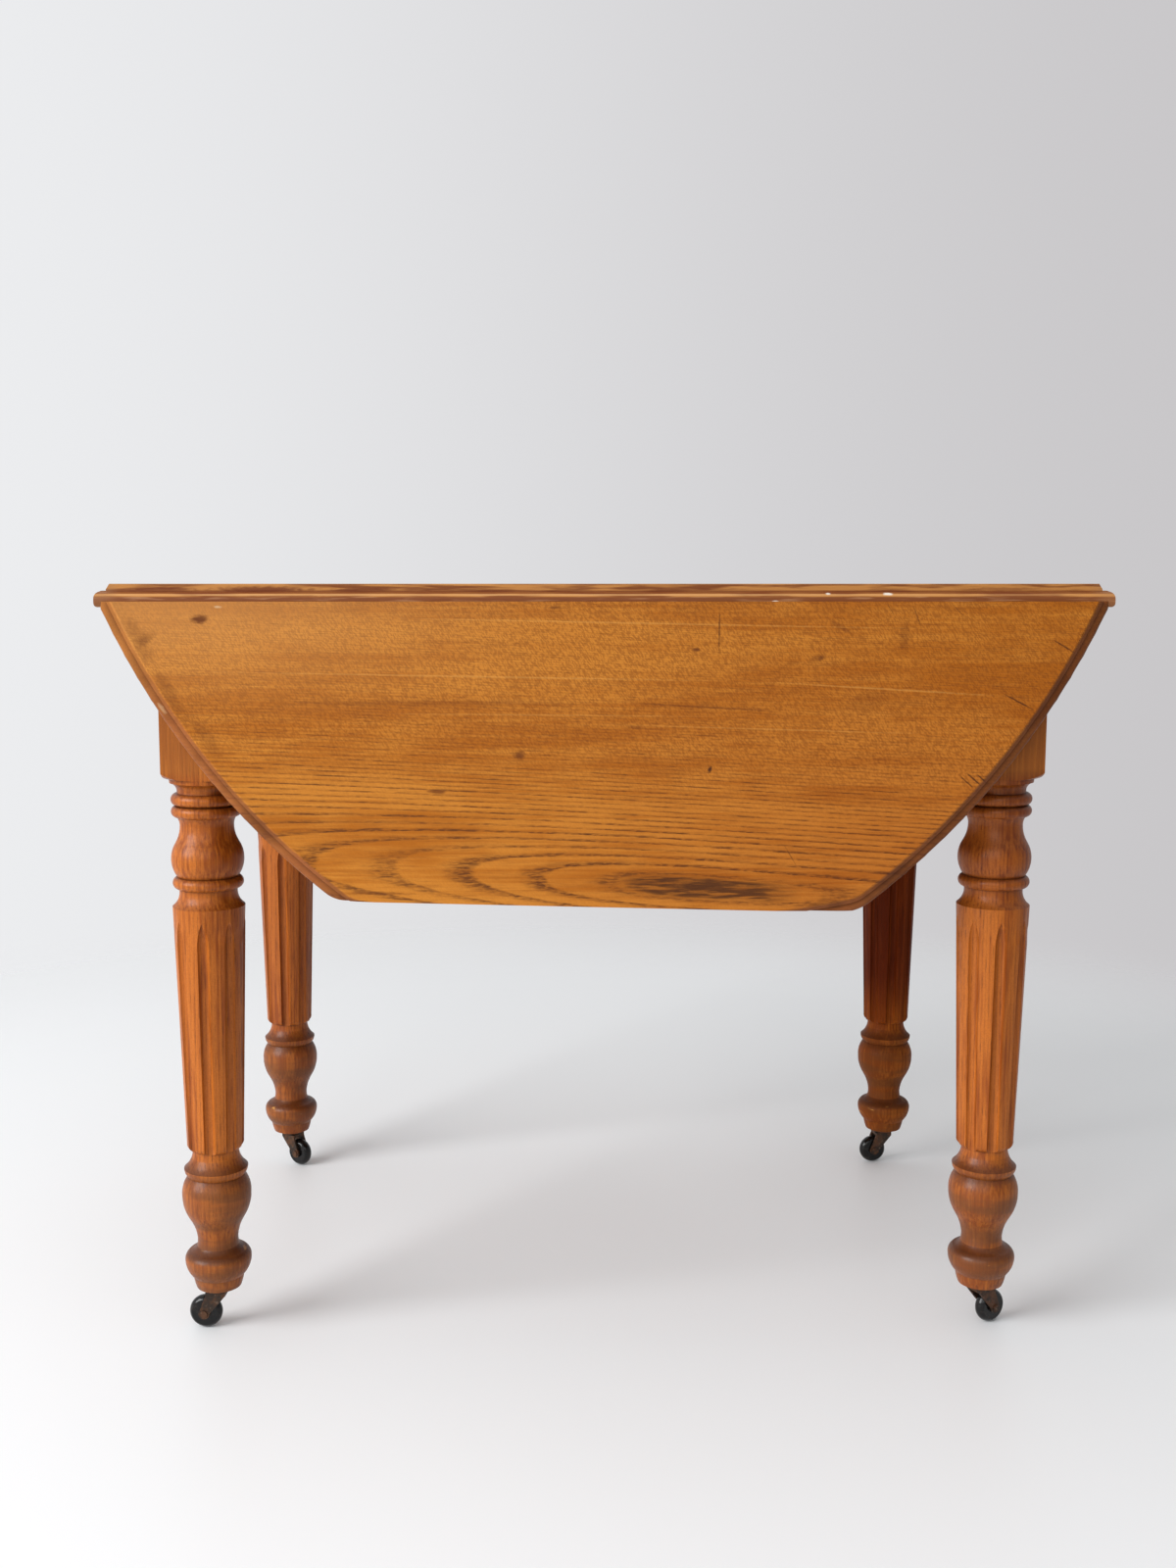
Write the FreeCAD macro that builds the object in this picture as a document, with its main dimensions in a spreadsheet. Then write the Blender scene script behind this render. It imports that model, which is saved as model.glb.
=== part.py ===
import FreeCAD, Part
import os
import re

import Sketcher

Vector = FreeCAD.Vector
Rotation = FreeCAD.Rotation
Placement = FreeCAD.Placement

# Driving sizes in millimetres and degrees. The floor is z = 0, x runs along the table, the front leaf is at -y.
sizes = {
    # overall
    "table_height": 737,
    "top_length": 922,
    "board_thickness": 21,
    "hinge_spread": 590,
    "end_reveal": 46,
    # rule joint between the top and each leaf
    "nose_radius": 8.5,
    "axis_rise": 5.5,
    "joint_gap": 0.5,
    "lip_gap": 0.4,
    # moulding on the ends of the top and round the leaves
    "bead_width": 12.5,
    "bead_slope_run": 3.2,
    "bead_slope_drop": 5,
    "bead_step": 6.2,
    "bead_round": 6.2,
    "bead_under": 3,
    # leaves
    "leaf_end_inset": 2,
    "leaf_corner_half": 237.5,
    "leaf_blank_width": 308,
    "leaf_lower_bow": 24,
    "leaf_trim_depth": 28.5,
    "leaf_trim_rake": 11.3,
    "leaf_ease_rise": 12,
    "leaf_ease_run": 28,
    "leaf_side_bow": 23.5,
    "leaf_corner_radius": 45,
    # legs
    "leg_square": 70,
    "block_length": 153,
    "foot_face_radius": 16,
    "flute_count": 8,
    "flute_radius": 5.8,
    "flute_depth": 4.6,
    "flute_margin": 36,
    "flute_taper": 27,
    "flute_swell": 1.4,
    "flute_runout": 9,
    # rails, tenons and corner blocks
    "rail_depth": 120,
    "rail_thickness": 22,
    "rail_setback": 4,
    "tenon_thickness": 10,
    "tenon_length": 28,
    "tenon_shoulder": 15,
    "joinery_gap": 0.1,
    "bed_gap": 0.2,
    "brace_reach": 55,
    "brace_height": 45,
    "brace_screw_along": 22,
    "brace_screw_in": 17,
    "top_screw_bite": 13,
    # leaf hinges
    "hinge_end_inset": 161,
    "hinge_width": 40,
    "hinge_offset": 2.3,
    "hinge_thickness": 2.2,
    "hinge_top_reach": 56,
    "hinge_leaf_reach": 75,
    "knuckle_radius": 4.2,
    "knuckle_width": 14,
    "knuckle_gap": 0.3,
    "hinge_clear": 0.5,
    "hinge_pin_radius": 1.5,
    "hinge_screw_spread": 22,
    "hinge_screw_near": 18,
    "hinge_screw_far": 44,
    "leaf_screw_near": 26,
    "leaf_screw_far": 62,
    # leaf props
    "prop_end_inset": 261,
    "prop_back_gap": 3,
    "prop_front_gap": 2,
    "prop_drop": 75,
    "prop_reach": 165,
    "prop_thickness": 16,
    "prop_width": 26,
    "prop_side_gap": 0.6,
    "prop_rest_gap": 0.3,
    "prop_pin_radius": 3,
    "pin_head_radius": 5,
    "pin_head_height": 2,
    "bracket_thickness": 3,
    "bracket_height": 44,
    "bracket_wing": 16,
    "bracket_screw_rise": 13,
    "ear_radius": 7,
    "cleat_gap": 3,
    "cleat_length": 30,
    "cleat_height": 4.5,
    # casters
    "wheel_radius": 16.5,
    "wheel_width": 12,
    "wheel_shoulder": 13,
    "hub_radius": 6,
    "hub_rise": 0.5,
    "wheel_gap": 2.7,
    "hub_gap": 0.5,
    "caster_trail": 14,
    "cheek_thickness": 2.5,
    "crown_thickness": 3.5,
    "crown_back": 8,
    "crown_front": 12,
    "boss_radius": 5.5,
    "axle_radius": 2,
    "axle_head_radius": 3.6,
    "axle_head_height": 1.4,
    "swivel_gap": 0.3,
    "socket_radius": 12,
    "socket_plate": 2.5,
    "sleeve_radius": 6.5,
    "sleeve_length": 38,
    "stem_radius": 4,
    "stem_end_gap": 4.5,
    "swivel_front_left": 175,
    "swivel_front_right": 30,
    "swivel_rear_left": -35,
    "swivel_rear_right": -170,
    # fasteners and running fits
    "fit_gap": 0.05,
    "hinge_screw_head": 3.4,
    "hinge_screw_sink": 1.8,
    "hinge_screw_shank": 1.6,
    "hinge_screw_length": 10,
    "bracket_screw_head": 3.6,
    "bracket_screw_sink": 2,
    "bracket_screw_shank": 1.8,
    "bracket_screw_length": 15,
    "top_screw_head": 5,
    "top_screw_sink": 2.8,
    "top_screw_shank": 2.4,
}

# Turnings of the leg, from the foot up to the column: height, radius at the upper end, bulge (hollow if negative)
lower_turnings = {
    "foot_edge": (2.5, 21.8, 0),
    "foot_taper": (11.5, 24.9, 0.3),
    "foot_swell": (17.5, 32.4, 1.9),
    "foot_shoulder": (8, 28, 1.2),
    "ankle_flare": (5.5, 20.5, -1),
    "ankle": (8, 19.7, -0.3),
    "vase_stem": (21, 27, -1.3),
    "vase_swell": (23, 33.6, 1.7),
    "lower_vase": (20, 27.6, 1.9),
    "collar_under": (8, 31, 0.9),
    "lower_collar": (11, 23.4, -1),
    "lower_neck": (7.7, 22.2, -0.3),
    "column_base": (7, 27.5, 1.8),
}

# Turnings from the square block down to the column: height, radius at the lower end, bulge
upper_turnings = {
    "shoulder": (10, 34.8, 2),
    "shoulder_band": (4, 34.2, 0),
    "upper_cove": (10, 27.7, -2.5),
    "upper_ring": (12, 28.9, 5.2),
    "second_ring": (11.4, 28.1, 5),
    "vase_neck": (7.6, 25.6, -0.6),
    "vase_shoulder": (17, 30, -1.2),
    "upper_vase": (33, 29.2, 5),
    "vase_ring": (12, 27.8, 5.2),
    "capital_cove": (17, 34.6, -2.6),
}

# Sizes that follow from the driving ones
derived = {
    "axis_y": "=hinge_spread / 2",
    "under_z": "=table_height - board_thickness",
    "axis_z": "=under_z + axis_rise",
    "leaf_face": "=board_thickness - axis_rise",
    "lip_height": "=leaf_face - nose_radius",
    "nose_run": "=sqrt(nose_radius ^ 2 - axis_rise ^ 2)",
    "nose_chord": "=sqrt(nose_run ^ 2 + (nose_radius + axis_rise) ^ 2)",
    "nose_bulge": "=nose_radius - sqrt(nose_radius ^ 2 - nose_chord ^ 2 / 4)",
    "cove_radius": "=nose_radius + joint_gap",
    "cove_bulge": "=cove_radius * (1 - sqrt(0.5))",
    "bead_inset": "=bead_width - bead_slope_run",
    "leaf_length": "=top_length - 2 * leaf_end_inset",
    "leaf_corner_drop": "=leaf_blank_width - leaf_lower_bow",
    "leaf_trim_width": "=leaf_blank_width - leaf_trim_depth",
    "leg_half": "=leg_square / 2",
    "leg_x": "=top_length / 2 - end_reveal - leg_half",
    "prop_room": "=prop_back_gap + prop_thickness + prop_front_gap + cleat_height",
    "rail_face_y": "=axis_y - axis_rise - prop_room - bracket_thickness",
    "leg_y": "=rail_face_y + rail_setback - leg_half",
    "leg_inner_x": "=leg_x - leg_half",
    "leg_inner_y": "=leg_y - leg_half",
    "rail_face_x": "=leg_x + leg_half - rail_setback",
    "rail_inner_x": "=rail_face_x - rail_thickness",
    "rail_inner_y": "=rail_face_y - rail_thickness",
    "tenon_in": "=(rail_thickness - tenon_thickness) / 2",
    "top_screw_length": "=brace_height + top_screw_bite",
    "hinge_x": "=top_length / 2 - hinge_end_inset",
    "hinge_far": "=hinge_offset + hinge_thickness",
    "hinge_half": "=hinge_width / 2",
    "barrel_slot": "=hinge_far + hinge_clear",
    "prop_x": "=top_length / 2 - prop_end_inset",
    "prop_end": "=prop_thickness / 2",
    "prop_y": "=rail_face_y + bracket_thickness + prop_back_gap + prop_end",
    "prop_inset": "=axis_y - prop_y",
    "prop_z": "=axis_z - prop_drop",
    "ear_inner": "=prop_width / 2 + prop_side_gap",
    "ear_outer": "=ear_inner + bracket_thickness",
    "bracket_half": "=ear_outer + bracket_wing",
    "prop_lift": "=prop_drop - axis_rise - prop_end - prop_rest_gap",
    "prop_tip_out": "=sqrt(prop_reach ^ 2 - prop_lift ^ 2) - prop_inset",
    "cleat_start": "=prop_tip_out + prop_end + cleat_gap",
    "fork_under": "=2 * wheel_radius + wheel_gap",
    "fork_top": "=fork_under + crown_thickness",
    "foot_z": "=fork_top + swivel_gap + socket_plate",
    "fork_space": "=wheel_width + 2 * hub_rise + 2 * hub_gap",
    "fork_half": "=fork_space / 2 + cheek_thickness",
    "stem_length": "=socket_plate + sleeve_length - stem_end_gap",
    "block_z": "=under_z - block_length",
}

# Circles of the leaf's curved side, of its untrimmed lower edge and of the left corner left by the trimming
leaf_circles = {
    "side_run": "=leaf_length / 2 - leaf_corner_half",
    "side_chord": "=sqrt(side_run ^ 2 + leaf_corner_drop ^ 2)",
    "side_radius": "=side_chord ^ 2 / (8 * leaf_side_bow) + leaf_side_bow / 2",
    "side_back": "=(side_radius - leaf_side_bow) / side_chord",
    "side_centre_x": "=(leaf_length / 2 + leaf_corner_half) / 2 - side_back * leaf_corner_drop",
    "side_centre_z": "=side_back * side_run - leaf_corner_drop / 2",
    "lower_radius": "=leaf_corner_half ^ 2 / (2 * leaf_lower_bow) + leaf_lower_bow / 2",
    "lower_centre_z": "=lower_radius - leaf_blank_width",
    "ease_z": "=leaf_trim_rake / 2 - leaf_trim_width + leaf_ease_rise",
    "ease_side_x": "=side_centre_x + sqrt(side_radius ^ 2 - (ease_z - side_centre_z) ^ 2)",
    "ease_end_x": "=ease_side_x - leaf_ease_run",
    "ease_chord": "=sqrt(leaf_ease_run ^ 2 + leaf_ease_rise ^ 2)",
    "ease_bulge": "=ease_chord * (ease_chord - leaf_ease_run) / (2 * leaf_ease_rise)",
    "centres_rise": "=lower_centre_z - side_centre_z",
    "centres_apart": "=sqrt(side_centre_x ^ 2 + centres_rise ^ 2)",
}


# Where those circles, set in by some width, meet each other and the joint line
def inset_outline(stem, inset):
    return {
        f"{stem}_side": f"=side_radius - {inset}",
        f"{stem}_lower": f"=lower_radius - {inset}",
        f"{stem}_along": f"=({stem}_side ^ 2 - {stem}_lower ^ 2 + centres_apart ^ 2) / (2 * centres_apart)",
        f"{stem}_off": f"=sqrt({stem}_side ^ 2 - {stem}_along ^ 2)",
        f"{stem}_corner_x": "=side_centre_x + "
        f"({stem}_off * centres_rise - {stem}_along * side_centre_x) / centres_apart",
        f"{stem}_corner_z": "=side_centre_z + "
        f"({stem}_along * centres_rise + {stem}_off * side_centre_x) / centres_apart",
        f"{stem}_top_x": f"=side_centre_x + sqrt({stem}_side ^ 2 - (side_centre_z + lip_gap) ^ 2)",
        f"{stem}_run": f"={stem}_top_x - {stem}_corner_x",
        f"{stem}_chord": f"=sqrt({stem}_run ^ 2 + ({stem}_corner_z + lip_gap) ^ 2)",
        f"{stem}_side_bulge": f"={stem}_side - sqrt({stem}_side ^ 2 - {stem}_chord ^ 2 / 4)",
        f"{stem}_lower_bulge": f"={stem}_lower - sqrt({stem}_lower ^ 2 - {stem}_corner_x ^ 2)",
    }


doc = FreeCAD.newDocument("drop_leaf_table")
sheet = doc.addObject("Spreadsheet::Sheet", "dims")
cells = []
nodes = {}
word = re.compile(r"[a-z_]+")
overrun = 2  # how far a cutting shape runs past the face that it opens
play = "bed_gap"  # room round a hinge plate in its bed
fit = "fit_gap"  # running room round pins, stems and screws


def fill_sheet(values):
    for name, content in values.items():
        cells.append(name)
        row = len(cells)
        sheet.set(f"A{row}", name)
        sheet.set(f"B{row}", str(content))
        sheet.setAlias(f"B{row}", name)


def turning_sizes(turnings):
    named = {}
    for name, (height, radius, bulge) in turnings.items():
        named[name + "_height"] = height
        named[name + "_radius"] = radius
        named[name + "_bulge"] = bulge
    return named


fill_sheet(sizes)
fill_sheet(turning_sizes(lower_turnings))
fill_sheet(turning_sizes(upper_turnings))
fill_sheet(derived)
fill_sheet(leaf_circles)
fill_sheet(inset_outline("rim", "0"))
fill_sheet(inset_outline("field", "bead_inset"))
doc.recompute()


# Names in a formula become references to the sheet
def bound(formula):
    return word.sub(lambda found: "dims." + found[0] if found[0] in cells else found[0], str(formula))


def value(formula):
    return float(sheet.evalExpression(str(formula)))


def bind(item, **formulas):
    for name, formula in formulas.items():
        item.setExpression(name, bound(formula))


turns = {
    "+x": Rotation(Vector(0, 1, 0), 90),
    "+y": Rotation(Vector(1, 0, 0), -90),
    "-y": Rotation(Vector(1, 0, 0), 90),
    "+z": Rotation(),
}


def place(item, x, y, z, rotation=Rotation()):
    item.Placement = Placement(Vector(value(x), value(y), value(z)), rotation)
    for letter, formula in zip("xyz", (x, y, z)):
        item.setExpression(f".Placement.Base.{letter}", bound(formula))
    return item


# A box from its low and high formulas along each axis
def box(x, y, z):
    item = doc.addObject("Part::Box", "box")
    spans = {side: f"({high}) - ({low})" for side, (low, high) in zip(("Length", "Width", "Height"), (x, y, z))}
    bind(item, **spans)
    return place(item, x[0], y[0], z[0])


# A round bar that starts at a point and runs along one axis
def rod(start, radius, length, along):
    item = doc.addObject("Part::Cylinder", "rod")
    bind(item, Radius=radius, Height=length)
    return place(item, *start, turns[along])


def fuse(*items):
    joined = doc.addObject("Part::MultiFuse", "joined")
    joined.Shapes = list(items)
    return joined


def cut(base, *tools):
    item = doc.addObject("Part::Cut", "cut")
    item.Base = base
    item.Tool = tools[0] if len(tools) == 1 else fuse(*tools)
    return item


def gather(*items):
    group = doc.addObject("Part::Compound", "group")
    group.Links = list(items)
    return group


def mirror(source, normal):
    item = doc.addObject("Part::Mirroring", "mirror")
    item.Source = source
    item.Normal = Vector(*normal)
    return item


across_length = (1, 0, 0)
across_width = (0, 1, 0)


# The same piece at all four corners of the table, given the one at the front left
def four_corners(front_left):
    rear_left = mirror(front_left, across_width)
    return {
        "front_left": front_left,
        "front_right": mirror(front_left, across_length),
        "rear_left": rear_left,
        "rear_right": mirror(rear_left, across_length),
    }


def node(item, label):
    item.Label = label
    nodes[label] = item
    return item


def corner_nodes(front_left, stem):
    for corner, item in four_corners(front_left).items():
        node(item, f"{stem}_{corner}")


# A countersunk screw, or with a gap the hole that takes it: it starts at its head and runs along one axis
def screw(kind, start, along, gap="0"):
    head = doc.addObject("Part::Cone", "head")
    bind(head, Radius1=f"{kind}_head + {gap}", Radius2=f"{kind}_shank + {gap}", Height=f"{kind}_sink")
    place(head, *start, turns[along])
    shank = rod(start, f"{kind}_shank + {gap}", f"{kind}_length + {gap}", along)
    return fuse(head, shank)


def new_body(name):
    return doc.addObject("PartDesign::Body", name)


def origin_plane(body, role):
    return next(item for item in body.Origin.OriginFeatures if item.Role == role)


def new_sketch(body, plane):
    sketch = body.newObject("Sketcher::SketchObject", "outline")
    sketch.AttachmentSupport = [(origin_plane(body, plane), "")]
    sketch.MapMode = "FlatFace"
    return sketch


# Formulas for the centre of the arc that runs between two corners and swells to the right of its run
def arc_centre(start, end, bulge):
    run = f"(({end[0]}) - ({start[0]}))"
    rise = f"(({end[1]}) - ({start[1]}))"
    square = f"({run} ^ 2 + {rise} ^ 2)"
    back = f"({square} / (8 * ({bulge})) - ({bulge}) / 2) / sqrt({square})"
    return (
        f"(({start[0]}) + ({end[0]})) / 2 - {back} * {rise}",
        f"(({start[1]}) + ({end[1]})) / 2 + {back} * {run}",
    )


# A closed outline: each corner is (x, y) or (x, y, bulge), the bulge being that of the edge that leaves it.
# Corners run anticlockwise, and a positive bulge swells outwards.
def draw(sketch, corners):
    edges = []
    rules = []
    for corner, following in zip(corners, corners[1:] + corners[:1]):
        start = Vector(value(corner[0]), value(corner[1]), 0)
        end = Vector(value(following[0]), value(following[1]), 0)
        chord = end - start
        bulge = corner[2] if len(corner) > 2 else "0"
        swell = value(bulge)
        if swell == 0:
            number = sketch.addGeometry(Part.LineSegment(start, end))
        else:
            middle = (start + end) * 0.5 + Vector(chord.y, -chord.x, 0).normalize() * swell
            ends = (start, end) if swell > 0 else (end, start)
            number = sketch.addGeometry(Part.Arc(ends[0], middle, ends[1]))
            centre_x, centre_y = arc_centre(corner, following, bulge)
            steep = abs(chord.y) > abs(chord.x)
            rules.append(("DistanceX", number, 3, centre_x) if steep else ("DistanceY", number, 3, centre_y))
        edges.append((number, 1, 2) if swell >= 0 else (number, 2, 1))
        rules.append(("DistanceX", number, edges[-1][1], corner[0]))
        rules.append(("DistanceY", number, edges[-1][1], corner[1]))
    for (number, _, last), (other, first, _) in zip(edges, edges[1:] + edges[:1]):
        sketch.addConstraint(Sketcher.Constraint("Coincident", number, last, other, first))
    for kind, number, point, formula in rules:
        rule = Sketcher.Constraint(kind, -1, 1, number, point, value(formula))
        sketch.setExpression(f"Constraints[{sketch.addConstraint(rule)}]", bound(formula))
    return sketch


def lift_sketch(sketch, x="0", y="0", z="0", lean=None):
    for letter, formula in zip("xyz", (x, y, z)):
        sketch.setExpression(f"AttachmentOffset.Base.{letter}", bound(formula))
    if lean:
        sketch.AttachmentOffset = Placement(Vector(), Rotation(Vector(0, 0, -1), value(lean)))
        sketch.setExpression("AttachmentOffset.Rotation.Angle", bound(lean))
    return sketch


def pad(body, sketch, length, side="One side"):
    feature = body.newObject("PartDesign::Pad", "pad")
    feature.Profile = sketch
    feature.SideType = side
    bind(feature, Length=length)
    return feature


def pocket_through(body, sketch):
    feature = body.newObject("PartDesign::Pocket", "pocket")
    feature.Profile = sketch
    feature.Type = "ThroughAll"
    feature.SideType = "Symmetric"
    return feature


def turn(body, sketch, kind):
    feature = body.newObject("PartDesign::" + kind, kind.lower())
    feature.Profile = sketch
    feature.ReferenceAxis = (sketch, ["V_Axis"])
    feature.Angle = 360
    return feature


def named_edges(feature):
    return [(f"Edge{number}", edge) for number, edge in enumerate(feature.Shape.Edges, 1)]


def near(one, other):
    return abs(one - other) < 0.01


def round_edges(body, feature, names, radius):
    rounded = body.newObject("PartDesign::Fillet", "rounding")
    rounded.Base = (feature, names)
    bind(rounded, Radius=radius)
    doc.recompute()
    return rounded


# Top panel: the rule-joint section runs along the table, and both ends are then moulded across it
def top_panel():
    body = new_body("top_blank")
    place(body, "0", "0", "table_height")
    section = [
        ("-axis_y", "0"),
        ("-axis_y", "-lip_height", "nose_bulge"),
        ("-axis_y - nose_run", "-board_thickness"),
        ("axis_y + nose_run", "-board_thickness", "nose_bulge"),
        ("axis_y", "-lip_height"),
        ("axis_y", "0"),
    ]
    pad(body, draw(new_sketch(body, "YZ_Plane"), section), "top_length", "Symmetric")
    moulded = pocket_through(body, draw(new_sketch(body, "XZ_Plane"), end_waste()))
    both_ends = body.newObject("PartDesign::Mirrored", "both_ends")
    both_ends.Originals = [moulded]
    both_ends.MirrorPlane = (origin_plane(body, "YZ_Plane"), [""])
    body.Tip = both_ends
    recesses = four_corners(fuse(*hinge_recess()))
    pilots = four_corners(fuse(*hinge_top_screws(fit), *top_screws(fit)))
    node(cut(body, *recesses.values(), *pilots.values()), "top_panel")


# Waste outside the moulding at the right-hand end, measured from the middle of the top's surface
def end_waste():
    edge = "top_length / 2 - bead_width"
    nose = "top_length / 2"
    quarter = "(1 - sqrt(0.5))"
    return [
        (edge, "0"),
        (f"{edge} + bead_slope_run", "-bead_slope_drop"),
        (f"{edge} + bead_slope_run", "-bead_step"),
        (f"{nose} - bead_round", "-bead_step", f"-bead_round * {quarter}"),
        (nose, "-bead_step - bead_round"),
        (nose, "-board_thickness + bead_under", f"-bead_under * {quarter}"),
        (f"{nose} - bead_under", "-board_thickness"),
        (f"{nose} - bead_under", f"-board_thickness - {overrun}"),
        (f"{nose} + {overrun}", f"-board_thickness - {overrun}"),
        (f"{nose} + {overrun}", f"{overrun}"),
        (edge, f"{overrun}"),
    ]


# Outline of the leaf or of its raised field: curved sides, curved lower edge, straight top at the rule joint
def leaf_outline(body, stem, depth):
    corners = [
        (f"-{stem}_top_x", "-lip_gap", f"{stem}_side_bulge"),
        (f"-{stem}_corner_x", f"{stem}_corner_z", f"{stem}_lower_bulge"),
        (f"{stem}_corner_x", f"{stem}_corner_z", f"{stem}_side_bulge"),
        (f"{stem}_top_x", "-lip_gap"),
    ]
    return draw(lift_sketch(new_sketch(body, "XZ_Plane"), z=depth), corners)


# The two lower corners of a leaf layer are rounded, and then all its front edge except at the joint is found
def rounded_layer(body, layer, stem, radius, front_y):
    low = (value(f"{stem}_corner_x"), value(f"{stem}_corner_z"))
    corners = [
        name
        for name, edge in named_edges(layer)
        if all(near(abs(point.X), low[0]) and near(point.Z, low[1]) for point in edge.Vertexes)
        and near(edge.BoundBox.XLength, 0)
        and near(edge.BoundBox.YMin, front_y)
    ]
    layer = round_edges(body, layer, corners, radius)
    rim = [
        name
        for name, edge in named_edges(layer)
        if all(near(point.Y, front_y) for point in edge.Vertexes)
        and not all(near(point.Z, -value("lip_gap")) for point in edge.Vertexes)
    ]
    return layer, rim


# A hanging leaf, measured from its hinge axis: a rounded base, a raised field, the cove and the trimmed lower edge
def leaf_blank():
    body = new_body("leaf_blank")
    place(body, "0", "-axis_y", "axis_z")
    base = pad(body, leaf_outline(body, "rim", "-axis_rise"), "board_thickness - bead_step")
    doc.recompute()
    ledge_y = value("bead_step - leaf_face")
    base, rim = rounded_layer(body, base, "rim", "leaf_corner_radius", ledge_y)
    round_edges(body, base, rim, "bead_round")
    field = pad(body, leaf_outline(body, "field", "leaf_face - bead_step"), "bead_step")
    doc.recompute()
    field, rim = rounded_layer(body, field, "field", "leaf_corner_radius - bead_inset", -value("leaf_face"))
    sloped = body.newObject("PartDesign::Chamfer", "slope")
    sloped.Base = (field, rim)
    sloped.ChamferType = "Two distances"
    bind(sloped, Size="bead_slope_run", Size2="bead_slope_drop")
    doc.recompute()
    cove = [
        ("-cove_radius", "0", "cove_bulge"),
        ("0", "-cove_radius"),
        (f"axis_rise + {overrun}", "-cove_radius"),
        (f"axis_rise + {overrun}", f"{overrun}"),
        ("-cove_radius", f"{overrun}"),
    ]
    pocket_through(body, draw(new_sketch(body, "YZ_Plane"), cove))
    half = "leaf_length / 2"
    rake = "leaf_trim_rake / (2 * leaf_corner_half)"
    offcut = [
        (f"-{half}", "ease_z"),
        (f"-{half}", "-leaf_blank_width - leaf_corner_drop"),
        (half, "-leaf_blank_width - leaf_corner_drop"),
        (half, f"-leaf_trim_width - {half} * {rake}"),
        ("-ease_end_x", f"-leaf_trim_width + ease_end_x * {rake}", "-ease_bulge"),
        ("-ease_side_x", "ease_z"),
    ]
    pocket_through(body, draw(new_sketch(body, "XZ_Plane"), offcut))
    return body


def leaves():
    slot = box(
        (f"-hinge_x - hinge_half - {play}", f"-hinge_x + hinge_half + {play}"),
        ("-axis_y + hinge_offset", f"-axis_y + axis_rise + {overrun}"),
        (f"axis_z - hinge_leaf_reach - {play}", "axis_z"),
    )
    left = fuse(slot, *hinge_leaf_screws(fit))
    front = node(cut(leaf_blank(), left, mirror(left, across_length)), "leaf_front")
    node(mirror(front, across_width), "leaf_rear")


# Wood taken from the top for one hinge: the plate's bed, the barrel's slot and room for the leaf plate's swing
def hinge_recess():
    width = (f"-hinge_x - hinge_half - {play}", f"-hinge_x + hinge_half + {play}")
    below = f"under_z - {overrun}"
    bed = box(width, ("-axis_y", f"-axis_y + hinge_top_reach + {play}"), (below, "axis_z - hinge_offset"))
    swing = box(
        width,
        (f"-axis_y - nose_radius - {overrun}", "-axis_y + barrel_slot"),
        (below, "axis_z - hinge_offset + hinge_clear"),
    )
    barrel = rod((width[0], "-axis_y", "axis_z"), "barrel_slot", f"hinge_width + 2 * {play}", "+x")
    return bed, swing, barrel


def hinge_top_screws(gap="0"):
    head_z = "axis_z - hinge_far"
    near_y = "-axis_y + hinge_screw_near"
    return (
        screw("hinge_screw", ("-hinge_x - hinge_screw_spread / 2", near_y, head_z), "+z", gap),
        screw("hinge_screw", ("-hinge_x + hinge_screw_spread / 2", near_y, head_z), "+z", gap),
        screw("hinge_screw", ("-hinge_x", "-axis_y + hinge_screw_far", head_z), "+z", gap),
    )


def hinge_leaf_screws(gap="0"):
    head_y = "-axis_y + hinge_far"
    near_z = "axis_z - leaf_screw_near"
    return (
        screw("hinge_screw", ("-hinge_x - hinge_screw_spread / 2", head_y, near_z), "-y", gap),
        screw("hinge_screw", ("-hinge_x + hinge_screw_spread / 2", head_y, near_z), "-y", gap),
        screw("hinge_screw", ("-hinge_x", head_y, "axis_z - leaf_screw_far"), "-y", gap),
    )


# Hinges: two knuckles on the top plate, one between them on the leaf plate, all on one pin
def hinges():
    low = "-hinge_x - hinge_half"
    high = "-hinge_x + hinge_half"
    barrel = rod((low, "-axis_y", "axis_z"), "knuckle_radius", "hinge_width", "+x")
    bore = rod((low, "-axis_y", "axis_z"), f"hinge_pin_radius + {fit}", "hinge_width", "+x")
    round_axis = ("-axis_y - barrel_slot", "-axis_y + barrel_slot")
    above = "axis_z + barrel_slot"
    plate = box(
        (low, high),
        ("-axis_y", "-axis_y + hinge_top_reach"),
        ("axis_z - hinge_far", "axis_z - hinge_offset"),
    )
    middle = box(
        ("-hinge_x - knuckle_width / 2", "-hinge_x + knuckle_width / 2"),
        round_axis,
        ("axis_z - barrel_slot", above),
    )
    top_plate = cut(fuse(plate, barrel), middle, bore, *hinge_top_screws(fit))
    corner_nodes(top_plate, "hinge_top_plate")
    plate = box(
        (low, high),
        ("-axis_y + hinge_offset", "-axis_y + hinge_far"),
        ("axis_z - hinge_leaf_reach", "axis_z"),
    )
    left_gap = box((low, "-hinge_x - knuckle_width / 2 + knuckle_gap"), round_axis, ("axis_z - barrel_slot", above))
    right_gap = box(("-hinge_x + knuckle_width / 2 - knuckle_gap", high), round_axis, ("axis_z - barrel_slot", above))
    leaf_plate = cut(fuse(plate, barrel), left_gap, right_gap, bore, *hinge_leaf_screws(fit))
    corner_nodes(leaf_plate, "hinge_leaf_plate")
    pin = rod((low, "-axis_y", "axis_z"), "hinge_pin_radius", "hinge_width", "+x")
    node(gather(*four_corners(pin).values()), "hinge_pins")
    node(gather(*four_corners(gather(*hinge_top_screws())).values()), "hinge_top_screws")
    front = gather(*hinge_leaf_screws())
    front = node(gather(front, mirror(front, across_length)), "hinge_leaf_screws_front")
    node(mirror(front, across_width), "hinge_leaf_screws_rear")


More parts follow.
